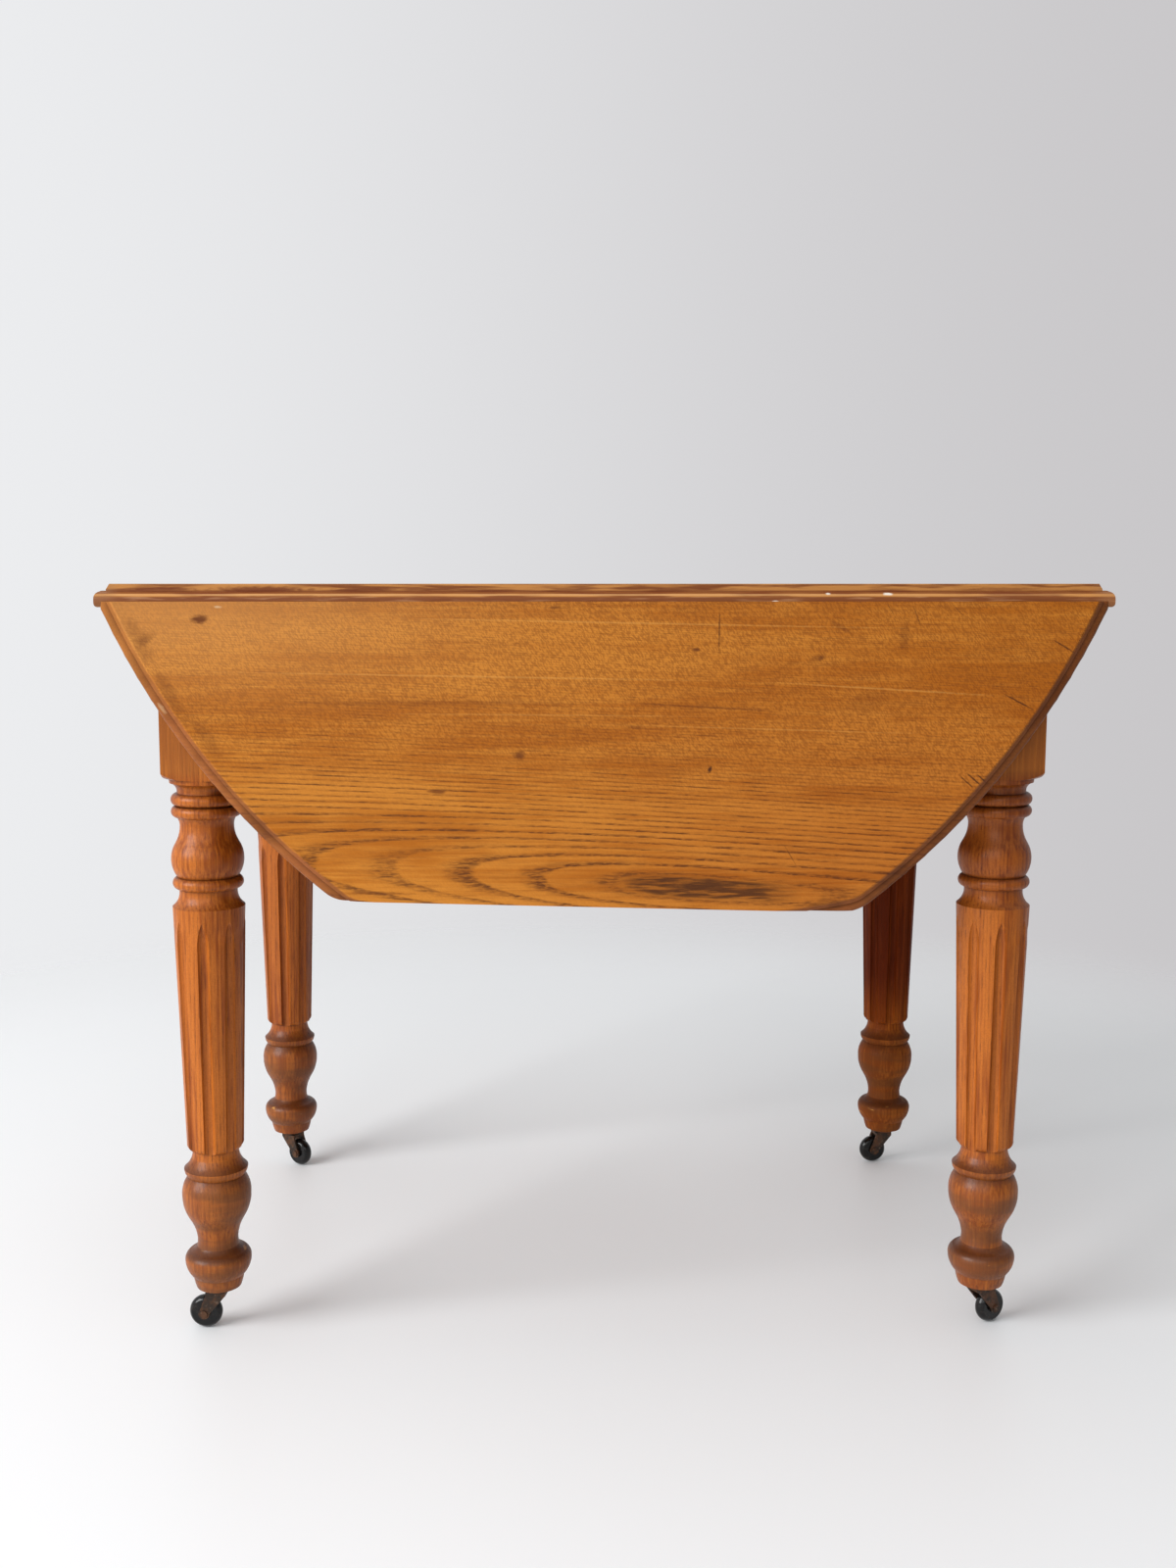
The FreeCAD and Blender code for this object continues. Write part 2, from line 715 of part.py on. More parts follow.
# Leg section from the axis outwards, turned from the foot to the block and then squared
def leg_profile():
    corners = [("0", "foot_z"), ("foot_face_radius", "foot_z")]
    level = "foot_z"
    for name in lower_turnings:
        level = f"{level} + {name}_height"
        corners[-1] = (*corners[-1][:2], f"{name}_bulge")
        corners.append((f"{name}_radius", level))
    rings = []
    level = "block_z"
    corner_radius = f"leg_half * sqrt(2) + {overrun}"
    upper_radius = corner_radius
    for name in upper_turnings:
        rings.append((upper_radius, level, f"{name}_bulge"))
        level = f"{level} - {name}_height"
        upper_radius = f"{name}_radius"
    for index in range(len(rings) - 1, -1, -1):
        lower_point = rings[index + 1][:2] if index + 1 < len(rings) else (upper_radius, level)
        corners.append((*lower_point, rings[index][2]))
    corners.append((corner_radius, "block_z"))
    corners.append((corner_radius, "under_z"))
    corners.append(("0", "under_z"))
    return corners


# Foot and head of the fluted column
def column_ends():
    foot = "foot_z + " + " + ".join(f"{name}_height" for name in lower_turnings)
    head = "block_z - " + " - ".join(f"{name}_height" for name in upper_turnings)
    return foot, head


def legs():
    body = new_body("leg_blank")
    place(body, "-leg_x", "-leg_y", "0")
    profile = draw(new_sketch(body, "XZ_Plane"), leg_profile())
    turn(body, profile, "Revolution")
    foot, head = column_ends()
    flare = "(capital_cove_radius - column_base_radius)"
    length = f"(({head}) - ({foot}))"
    lean = f"atan({flare} / {length})"
    reach = f"{length} - flute_margin + flute_runout"
    start_x = f"capital_cove_radius - flute_margin * {flare} / {length} + flute_radius - flute_depth"
    sketch = lift_sketch(new_sketch(body, "XZ_Plane"), start_x, f"{head} - flute_margin", "0", lean)
    scoop = [
        ("0", f"-({reach})"),
        ("flute_radius", f"-({reach})"),
        ("flute_radius", "0", "flute_swell"),
        ("0", "flute_taper"),
    ]
    flute = turn(body, draw(sketch, scoop), "Groove")
    flutes = body.newObject("PartDesign::PolarPattern", "flutes")
    flutes.Originals = [flute]
    flutes.Axis = (profile, ["V_Axis"])
    flutes.Angle = 360
    bind(flutes, Occurrences="flute_count")
    body.Tip = flutes
    outside = f"leg_half * sqrt(2) + 2 * {overrun}"
    shoulder = "block_z - shoulder_height"
    waste = cut(
        rod(("-leg_x", "-leg_y", shoulder), outside, "block_length + shoulder_height", "+z"),
        box(
            ("-leg_x - leg_half", "-leg_x + leg_half"),
            ("-leg_y - leg_half", "-leg_y + leg_half"),
            (shoulder, "under_z"),
        ),
    )
    bore = rod(("-leg_x", "-leg_y", "foot_z"), f"sleeve_radius + {fit}", f"sleeve_length + {fit}", "+z")
    corner_nodes(cut(body, waste, bore, side_tenon("joinery_gap"), end_tenon("joinery_gap")), "leg")


# Tenon of a side rail in the front left leg, or with a gap its mortise
def side_tenon(gap="0"):
    return box(
        (f"-leg_inner_x - tenon_length - {gap}", "-leg_inner_x"),
        (f"-rail_face_y + tenon_in - {gap}", f"-rail_face_y + tenon_in + tenon_thickness + {gap}"),
        (f"under_z - rail_depth + tenon_shoulder - {gap}", f"under_z - tenon_shoulder + {gap}"),
    )


def end_tenon(gap="0"):
    return box(
        (f"-rail_face_x + tenon_in - {gap}", f"-rail_face_x + tenon_in + tenon_thickness + {gap}"),
        (f"-leg_inner_y - tenon_length - {gap}", "-leg_inner_y"),
        (f"under_z - rail_depth + tenon_shoulder - {gap}", f"under_z - tenon_shoulder + {gap}"),
    )


def rails():
    upright = ("under_z - rail_depth", "under_z")
    board = box(("-leg_inner_x", "leg_inner_x"), ("-rail_face_y", "-rail_inner_y"), upright)
    tenon = side_tenon()
    holes = fuse(*bracket_screws(fit))
    front = cut(fuse(board, tenon, mirror(tenon, across_length)), holes, mirror(holes, across_length))
    node(front, "side_rail_front")
    node(mirror(front, across_width), "side_rail_rear")
    board = box(("-rail_face_x", "-rail_inner_x"), ("-leg_inner_y", "leg_inner_y"), upright)
    tenon = end_tenon()
    left = node(fuse(board, tenon, mirror(tenon, across_width)), "end_rail_left")
    node(mirror(left, across_length), "end_rail_right")


# Corner blocks fill the corner between two rails and the leg, and carry the screws that hold the top
def corner_blocks():
    body = new_body("corner_block_blank")
    place(body, "0", "0", "under_z - brace_height")
    plan = [
        ("-leg_inner_x", "-rail_inner_y"),
        ("-leg_inner_x + brace_reach", "-rail_inner_y"),
        ("-rail_inner_x", "-leg_inner_y + brace_reach"),
        ("-rail_inner_x", "-leg_inner_y"),
        ("-leg_inner_x", "-leg_inner_y"),
    ]
    pad(body, draw(new_sketch(body, "XY_Plane"), plan), "brace_height")
    corner_nodes(cut(body, *top_screws(fit)), "corner_block")
    node(gather(*four_corners(gather(*top_screws())).values()), "top_screws")


def top_screws(gap="0"):
    head_z = "under_z - brace_height"
    beside_rail = ("-leg_inner_x + brace_screw_along", "-rail_inner_y + brace_screw_in", head_z)
    beside_end = ("-rail_inner_x + brace_screw_in", "-leg_inner_y + brace_screw_along", head_z)
    return screw("top_screw", beside_rail, "+z", gap), screw("top_screw", beside_end, "+z", gap)


def bracket_screws(gap="0"):
    head_y = "-rail_face_y - bracket_thickness"
    across = "(ear_outer + bracket_half) / 2"
    made = []
    for side in ("-", "+"):
        for rise in ("-", "+"):
            start = (f"-prop_x {side} {across}", head_y, f"prop_z {rise} bracket_screw_rise")
            made.append(screw("bracket_screw", start, "+y", gap))
    return made


# Leaf props: an arm hangs from a clevis on each side rail and swings out under the raised leaf
def props():
    upright = ("prop_z - bracket_height / 2", "prop_z + bracket_height / 2")
    plate = box(
        ("-prop_x - bracket_half", "-prop_x + bracket_half"),
        ("-rail_face_y - bracket_thickness", "-rail_face_y"),
        upright,
    )
    ears = []
    for low, high in (("-ear_outer", "-ear_inner"), ("ear_inner", "ear_outer")):
        ear_z = ("prop_z - ear_radius", "prop_z + ear_radius")
        ears.append(box((f"-prop_x + {low}", f"-prop_x + {high}"), ("-prop_y", "-rail_face_y"), ear_z))
        ears.append(rod((f"-prop_x + {low}", "-prop_y", "prop_z"), "ear_radius", "bracket_thickness", "+x"))
    pin_start = ("-prop_x - ear_outer", "-prop_y", "prop_z")
    pin_length = "2 * ear_outer"
    bore = rod(pin_start, f"prop_pin_radius + {fit}", pin_length, "+x")
    corner_nodes(cut(fuse(plate, *ears), bore, *bracket_screws(fit)), "prop_bracket")
    node(gather(*four_corners(gather(*bracket_screws())).values()), "prop_bracket_screws")
    pin = fuse(
        rod(pin_start, "prop_pin_radius", pin_length, "+x"),
        rod(("-prop_x - ear_outer - pin_head_height", "-prop_y", "prop_z"), "pin_head_radius", "pin_head_height", "+x"),
        rod(("-prop_x + ear_outer", "-prop_y", "prop_z"), "pin_head_radius", "pin_head_height", "+x"),
    )
    node(gather(*four_corners(pin).values()), "prop_pins")
    body = new_body("prop_arm_blank")
    place(body, "-prop_x", "-prop_y", "prop_z")
    arm = [
        ("prop_end", "-prop_reach"),
        ("prop_end", "0", "prop_end"),
        ("-prop_end", "0"),
        ("-prop_end", "-prop_reach", "prop_end"),
    ]
    pad(body, draw(new_sketch(body, "YZ_Plane"), arm), "prop_width", "Symmetric")
    corner_nodes(cut(body, bore), "prop_arm")
    cleat = box(
        ("-prop_x - prop_width / 2", "-prop_x + prop_width / 2"),
        ("-axis_y + axis_rise", "-axis_y + axis_rise + cleat_height"),
        ("axis_z - cleat_start - cleat_length", "axis_z - cleat_start"),
    )
    front = node(gather(cleat, mirror(cleat, across_length)), "prop_cleats_front")
    node(mirror(front, across_width), "prop_cleats_rear")


# A caster, measured from the point on the floor below its stem, trailing towards +x
def caster(corner, leg_x, leg_y):
    def at_leg(item):
        angle = f"swivel_{corner}"
        place(item, leg_x, leg_y, "0", Rotation(Vector(0, 0, 1), value(angle)))
        item.setExpression(".Placement.Rotation.Angle", bound(angle))
        return item

    under_foot = (leg_x, leg_y, "foot_z - socket_plate")
    sleeve = fuse(
        rod(under_foot, "socket_radius", "socket_plate", "+z"),
        rod(under_foot, "sleeve_radius", "socket_plate + sleeve_length", "+z"),
    )
    stem_room = rod(under_foot, f"stem_radius + {fit}", f"stem_length + {overrun} / 2", "+z")
    node(cut(sleeve, stem_room), f"caster_socket_{corner}")
    body = new_body("fork_blank")
    cheek = [
        ("-crown_back", "fork_top"),
        ("-crown_back", "fork_under"),
        ("caster_trail - boss_radius", "wheel_radius", "boss_radius"),
        ("caster_trail + boss_radius", "wheel_radius"),
        ("crown_front", "fork_under"),
        ("crown_front", "fork_top"),
    ]
    pad(body, draw(new_sketch(body, "XZ_Plane"), cheek), "2 * fork_half", "Symmetric")
    reach = "caster_trail + wheel_radius"
    wheel_room = box((f"-({reach})", reach), ("-fork_space / 2", "fork_space / 2"), ("0", "fork_under"))
    stem = rod(("0", "0", "fork_under"), "stem_radius", "crown_thickness + swivel_gap + stem_length", "+z")
    axle_start = ("caster_trail", "-fork_half", "wheel_radius")
    axle_room = rod(axle_start, f"axle_radius + {fit}", "2 * fork_half", "+y")
    at_leg(node(cut(fuse(cut(body, wheel_room), stem), axle_room), f"caster_fork_{corner}"))
    head_start = ("caster_trail", "-fork_half - axle_head_height", "wheel_radius")
    axle = fuse(
        rod(axle_start, "axle_radius", "2 * fork_half", "+y"),
        rod(head_start, "axle_head_radius", "axle_head_height", "+y"),
        rod(("caster_trail", "fork_half", "wheel_radius"), "axle_head_radius", "axle_head_height", "+y"),
    )
    at_leg(node(axle, f"caster_axle_{corner}"))
    wheel = new_body("wheel_blank")
    bore = f"axle_radius + {fit}"
    half = "wheel_width / 2"
    tread = [
        (bore, f"-{half} - hub_rise"),
        ("hub_radius", f"-{half} - hub_rise"),
        ("hub_radius", f"-{half}"),
        ("wheel_shoulder", f"-{half}", "wheel_radius - wheel_shoulder"),
        ("wheel_shoulder", half),
        ("hub_radius", half),
        ("hub_radius", f"{half} + hub_rise"),
        (bore, f"{half} + hub_rise"),
    ]
    section = lift_sketch(new_sketch(wheel, "XY_Plane"), "caster_trail", "0", "wheel_radius")
    turn(wheel, draw(section, tread), "Revolution")
    at_leg(node(wheel, f"caster_wheel_{corner}"))


# Every object has to be sound before anything is written
def check_objects():
    for item in doc.Objects:
        if {"Invalid", "Error"} & set(item.State):
            raise RuntimeError(f"{item.Name} ({item.Label}) failed: {item.State}")
        if item.TypeId in ("PartDesign::Pocket", "PartDesign::Groove"):
            if item.Shape.Volume >= item.BaseFeature.Shape.Volume:
                print("removes nothing:", item.Name)
    for label, item in nodes.items():
        if item.Shape.isNull() or not item.Shape.isValid() or not item.Shape.Solids:
            raise RuntimeError(f"{label} has no sound solid")


top_panel()
leaves()
hinges()
legs()
rails()
corner_blocks()
props()
for corner_name, (side_x, side_y) in {
    "front_left": ("-leg_x", "-leg_y"),
    "front_right": ("leg_x", "-leg_y"),
    "rear_left": ("-leg_x", "leg_y"),
    "rear_right": ("leg_x", "leg_y"),
}.items():
    caster(corner_name, side_x, side_y)
doc.recompute()
check_objects()
os.makedirs("parts", exist_ok=True)
for label, item in nodes.items():
    item.Shape.exportStep(f"parts/{label}.step")
    print(label, len(item.Shape.Solids), round(item.Shape.Volume))
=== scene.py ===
import bpy
import math
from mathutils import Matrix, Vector


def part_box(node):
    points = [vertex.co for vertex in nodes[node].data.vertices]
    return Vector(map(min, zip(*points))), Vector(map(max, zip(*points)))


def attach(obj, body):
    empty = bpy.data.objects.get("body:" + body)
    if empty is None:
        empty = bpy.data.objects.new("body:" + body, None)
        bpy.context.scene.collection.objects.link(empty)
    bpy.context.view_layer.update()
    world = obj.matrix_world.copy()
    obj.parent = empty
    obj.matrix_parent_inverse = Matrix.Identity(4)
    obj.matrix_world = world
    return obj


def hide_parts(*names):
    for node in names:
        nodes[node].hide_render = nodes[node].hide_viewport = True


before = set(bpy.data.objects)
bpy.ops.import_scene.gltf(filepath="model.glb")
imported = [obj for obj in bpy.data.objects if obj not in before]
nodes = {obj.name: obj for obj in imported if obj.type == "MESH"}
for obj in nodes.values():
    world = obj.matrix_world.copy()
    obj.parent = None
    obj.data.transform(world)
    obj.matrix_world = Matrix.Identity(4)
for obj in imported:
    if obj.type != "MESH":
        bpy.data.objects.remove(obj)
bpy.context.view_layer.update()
corners = ["front_left", "front_right", "rear_left", "rear_right"]
print("frame loaded:", len(nodes), "pieces")


def paint(red, green, blue):  # a colour as a colour picker shows it, made linear
    def linear(value):
        value /= 255
        return value / 12.92 if value <= 0.04045 else ((value + 0.055) / 1.055) ** 2.4

    return (linear(red), linear(green), linear(blue), 1)


def feed(tree, node, feeds):  # values or sockets for a node's inputs
    for socket, value in feeds.items():
        if isinstance(value, bpy.types.NodeSocket):
            tree.links.new(value, node.inputs[socket])
        else:
            node.inputs[socket].default_value = value


def put(tree, kind, feeds=None, **settings):  # one node with its settings and feeds
    made = tree.nodes.new(kind)
    for name, value in settings.items():
        setattr(made, name, value)
    feed(tree, made, feeds or {})
    return made


def calc(tree, operation, first, second=0.0):
    return put(tree, "ShaderNodeMath", {0: first, 1: second}, operation=operation).outputs[0]


def times(tree, first, *others):
    for other in others:
        first = calc(tree, "MULTIPLY", first, other)
    return first


def centred(tree, value):  # a value from 0 to 1 made to swing about 0
    return calc(tree, "SUBTRACT", value, 0.5)


def length(tree, *sides):  # root of the sum of squares
    total = times(tree, sides[0], sides[0])
    for side in sides[1:]:
        total = calc(tree, "ADD", total, times(tree, side, side))
    return calc(tree, "SQRT", total)


def ease(tree, value, start, end, low=0.0, high=1.0):  # a smooth step between two levels
    feeds = {"Value": value, "From Min": start, "From Max": end, "To Min": low, "To Max": high}
    return put(tree, "ShaderNodeMapRange", feeds, interpolation_type="SMOOTHSTEP").outputs["Result"]


def between(tree, value, rise, fall):  # up over one span, down over another
    return times(tree, ease(tree, value, *rise), ease(tree, value, *fall))


def axes(tree, place):
    return put(tree, "ShaderNodeSeparateXYZ", {0: place}).outputs


def joined(tree, *values):
    return put(tree, "ShaderNodeCombineXYZ", dict(enumerate(values))).outputs[0]


def awayFrom(tree, place, centre):
    return put(tree, "ShaderNodeVectorMath", {0: place, 1: centre}, operation="SUBTRACT").outputs[0]


def turnedPlace(tree, place, turn):
    feeds = {"Vector": place, "Angle": turn}
    return put(tree, "ShaderNodeVectorRotate", feeds, rotation_type="Y_AXIS").outputs[0]


def oneDraw(tree, number):  # a random draw for each whole number
    return put(tree, "ShaderNodeTexWhiteNoise", {"W": number}, noise_dimensions="1D").outputs


def speckle(tree, place, stretch, detail=2.0, shift=0.0):  # noise with its own scale along each axis
    feeds = {"Vector": place, "Location": (shift, shift, shift), "Scale": stretch}
    laid = put(tree, "ShaderNodeMapping", feeds).outputs[0]
    return put(tree, "ShaderNodeTexNoise", {"Vector": laid, "Scale": 1.0, "Detail": detail}).outputs[0]


def patches(tree, place, span, reach=(0.0, 1.0), **noise):  # noise eased over a span of its levels
    return ease(tree, speckle(tree, place, **noise), *span, *reach)


# its value is used to paint shade into colour where faces lie close together
def shadeFromCloseFaces(tree, reach, samples):  # low where faces of the same piece lie close together
    feeds = {"Distance": reach}
    return put(tree, "ShaderNodeAmbientOcclusion", feeds, samples=samples, only_local=True).outputs["AO"]


def tint(tree, factor, first, second, mode="MIX"):
    feeds = {0: factor, 6: first, 7: second}
    return put(tree, "ShaderNodeMix", feeds, data_type="RGBA", blend_type=mode).outputs[2]


def bumped(tree, height, look, invert=False):
    feeds = {"Strength": look["relief"], "Distance": look["depth"], "Height": height}
    return put(tree, "ShaderNodeBump", feeds, invert=invert).outputs[0]


def newGroup(name, kind, inputs, outputs):  # a node group whose sockets are given as name and kind
    tree = bpy.data.node_groups.new(name, kind)
    for direction, sockets in (("INPUT", inputs), ("OUTPUT", outputs)):
        for socket, socketKind in sockets.items():
            tree.interface.new_socket(name=socket, in_out=direction, socket_type="NodeSocket" + socketKind)
    return tree, put(tree, "NodeGroupInput").outputs


def newFinish(name):
    made = bpy.data.materials.new(name)
    made.use_nodes = True
    tree = made.node_tree
    tree.nodes.clear()
    place = put(tree, "ShaderNodeTexCoord").outputs["Object"]
    shader = put(tree, "ShaderNodeBsdfPrincipled")
    put(tree, "ShaderNodeOutputMaterial", {"Surface": shader.outputs[0]})
    return made, tree, place, shader


# Noise stretched along the grain; line and year count in parts of a ring
grainLook = {
    "sway": {"stretch": (2.2, 9, 9)}, "ragged": {"stretch": (70, 300, 300), "shift": 3.1}, "raggedShare": 0.2,
    "lineFall": (0.04, 0.46), "lineRise": (0.88, 1.0), "yearStart": 0.06, "palestYear": 0.65,
    "broken": {"stretch": (34, 420, 420), "detail": 3.0, "shift": 1.7, "span": (0.36, 0.6), "reach": (0.45, 1.0)},
    "dotted": {"stretch": (150, 640, 640), "shift": 6.6, "span": (0.36, 0.58), "reach": (0.4, 1.0)},
    "pore": {"stretch": (52, 760, 760), "detail": 1.5, "shift": 0.4, "span": (0.52, 0.66)},
    "fleck": {"stretch": (350, 920, 920), "shift": 5.2, "span": (0.4, 0.62)}, "fleckTurn": -0.95,
    "fine": {"stretch": (9, 330, 330), "detail": 3.0, "shift": 8.3},
    "mottle": {"stretch": (22, 60, 60), "detail": 3.0, "shift": 4.9}, "mottleShare": 0.35,
    "streak": {"stretch": (1.8, 85, 85), "shift": 7.1}, "streakShare": 0.45,
    "drift": {"stretch": (2.6, 14, 14), "detail": 3.0, "shift": 2.6},
}


# Growth rings of a log that lies along X: they close into long loops round its centre and lie closer further out
def makeOakGrain(look):
    numbers = ("Tilt", "Left Loop", "Right Loop", "Rings", "Crowd", "Core", "Wander")
    results = ("Ring", "Line", "Pore", "Fleck", "Fine", "Tone")
    tree, given = newGroup(
        "oakGrain", "ShaderNodeTree", {"Place": "Vector", "Centre": "Vector", **dict.fromkeys(numbers, "Float")},
        dict.fromkeys(results, "Float"),
    )
    place, core = given["Place"], given["Core"]
    x, y, z = axes(tree, awayFrom(tree, place, given["Centre"]))
    rise = calc(tree, "ADD", z, times(tree, x, given["Tilt"]))
    across = calc(tree, "SUBTRACT", length(tree, y, rise, core), core)
    across = calc(tree, "ADD", across, times(tree, across, across, given["Crowd"]))
    leftward = calc(tree, "DIVIDE", calc(tree, "MINIMUM", x, 0.0), given["Left Loop"])
    rightward = calc(tree, "DIVIDE", calc(tree, "MAXIMUM", x, 0.0), given["Right Loop"])
    ring = length(tree, times(tree, across, given["Rings"]), calc(tree, "ADD", leftward, rightward))
    sway = centred(tree, speckle(tree, place, **look["sway"]))
    ragged = times(tree, centred(tree, speckle(tree, place, **look["ragged"])), look["raggedShare"])
    ring = calc(tree, "ADD", ring, times(tree, calc(tree, "ADD", sway, ragged), given["Wander"]))
    phase = calc(tree, "FRACT", ring)
    falling = ease(tree, phase, *look["lineFall"], 1.0, 0.0)
    line = calc(tree, "MAXIMUM", falling, ease(tree, phase, *look["lineRise"]))
    year = oneDraw(tree, calc(tree, "FLOOR", calc(tree, "ADD", ring, look["yearStart"])))["Value"]
    broken = times(tree, patches(tree, place, **look["broken"]), patches(tree, place, **look["dotted"]))
    line = times(tree, line, broken, ease(tree, year, 0.0, 1.0, look["palestYear"], 1.0))
    mottle = times(tree, centred(tree, speckle(tree, place, **look["mottle"])), look["mottleShare"])
    streak = times(tree, centred(tree, speckle(tree, place, **look["streak"])), look["streakShare"])
    tone = calc(tree, "ADD", speckle(tree, place, **look["drift"]), calc(tree, "ADD", mottle, streak))
    put(tree, "NodeGroupOutput", {
        "Ring": ring, "Line": line, "Pore": patches(tree, place, **look["pore"]),
        "Fleck": patches(tree, turnedPlace(tree, place, look["fleckTurn"]), **look["fleck"]),
        "Fine": speckle(tree, place, **look["fine"]), "Tone": tone,
    })
    return tree


markLook = {"rough": {"stretch": (160, 400, 400)}, "roughShare": 0.9, "rim": (0.75, 1.45)}


# A soft-edged oval mark such as a knot, a dent or a stain, or a thin scratch when it is long
def makeMark(look):
    tree, given = newGroup("surfaceMark", "ShaderNodeTree", {
        "Place": "Vector", "Centre": "Vector", "Turn": "Float", "Length": "Float", "Width": "Float",
    }, {"Mark": "Float"})
    place = given["Place"]
    split = axes(tree, turnedPlace(tree, awayFrom(tree, place, given["Centre"]), given["Turn"]))
    along = calc(tree, "DIVIDE", split[0], given["Length"])
    across = calc(tree, "DIVIDE", split[2], given["Width"])
    rough = times(tree, speckle(tree, place, **look["rough"]), look["roughShare"])
    far = calc(tree, "ADD", length(tree, along, across), rough)
    put(tree, "NodeGroupOutput", {"Mark": ease(tree, far, *look["rim"], 1.0, 0.0)})
    return tree


oakGrain = makeOakGrain(grainLook)
surfaceMark = makeMark(markLook)


def grainOf(tree, place, look):
    feeds = {
        "Place": place, "Centre": look["centre"], "Tilt": look["tilt"], "Left Loop": look["loops"][0],
        "Right Loop": look["loops"][1], "Rings": look["rings"], "Crowd": look["crowd"], "Core": look["core"],
        "Wander": look["wander"],
    }
    return put(tree, "ShaderNodeGroup", node_tree=oakGrain, feeds=feeds).outputs


# Colour of oak under varnish: a drifting ground colour, slanted flecks, ring lines and pores
def oakColour(tree, grain, look):
    drift = calc(tree, "ADD", grain["Tone"], times(tree, centred(tree, grain["Fine"]), look["fine"]))
    ground = tint(tree, ease(tree, drift, *look["drift"]), look["deep"], look["light"])
    flecks = ease(tree, grain["Ring"], *look["fleckFrom"], look["fleckLow"], look["fleck"])
    flecked = tint(tree, times(tree, grain["Fleck"], flecks), ground, look["fleckPaint"])
    contrast = ease(tree, grain["Ring"], *look["boldTo"], look["bold"], look["faint"])
    lined = tint(tree, times(tree, grain["Line"], contrast), flecked, look["line"])
    onLine = ease(tree, grain["Line"], *look["poreLine"], look["poreLow"], 1.0)
    nearby = ease(tree, grain["Ring"], *look["poreFade"], 1.0, look["poreFar"])
    return tint(tree, times(tree, grain["Pore"], onLine, nearby, look["pore"]), lined, look["dark"])


def oakSurface(tree, shader, grain, colour, look, extraRough=0.0):
    rough = ease(tree, grain["Tone"], *look["roughTone"], *look["rough"])
    rough = calc(tree, "ADD", rough, times(tree, grain["Pore"], look["poreRough"]))
    dips = calc(tree, "ADD", times(tree, grain["Pore"], look["poreDip"]), times(tree, grain["Line"], look["lineDip"]))
    feed(tree, shader, {
        "Base Color": colour, "Roughness": calc(tree, "ADD", rough, extraRough),
        "Normal": bumped(tree, dips, look, invert=True), "Specular IOR Level": look["shine"],
        "Coat Weight": look["coat"], "Coat Roughness": look["coatRough"],
    })


def addMarks(tree, place, colour, marks, shade, gate):
    for x, z, turn, long, wide, weight in marks:
        feeds = {"Place": place, "Centre": (x, 0, z), "Turn": turn, "Length": long, "Width": wide}
        mark = put(tree, "ShaderNodeGroup", node_tree=surfaceMark, feeds=feeds).outputs[0]
        colour = tint(tree, times(tree, mark, weight, gate), colour, shade)
    return colour


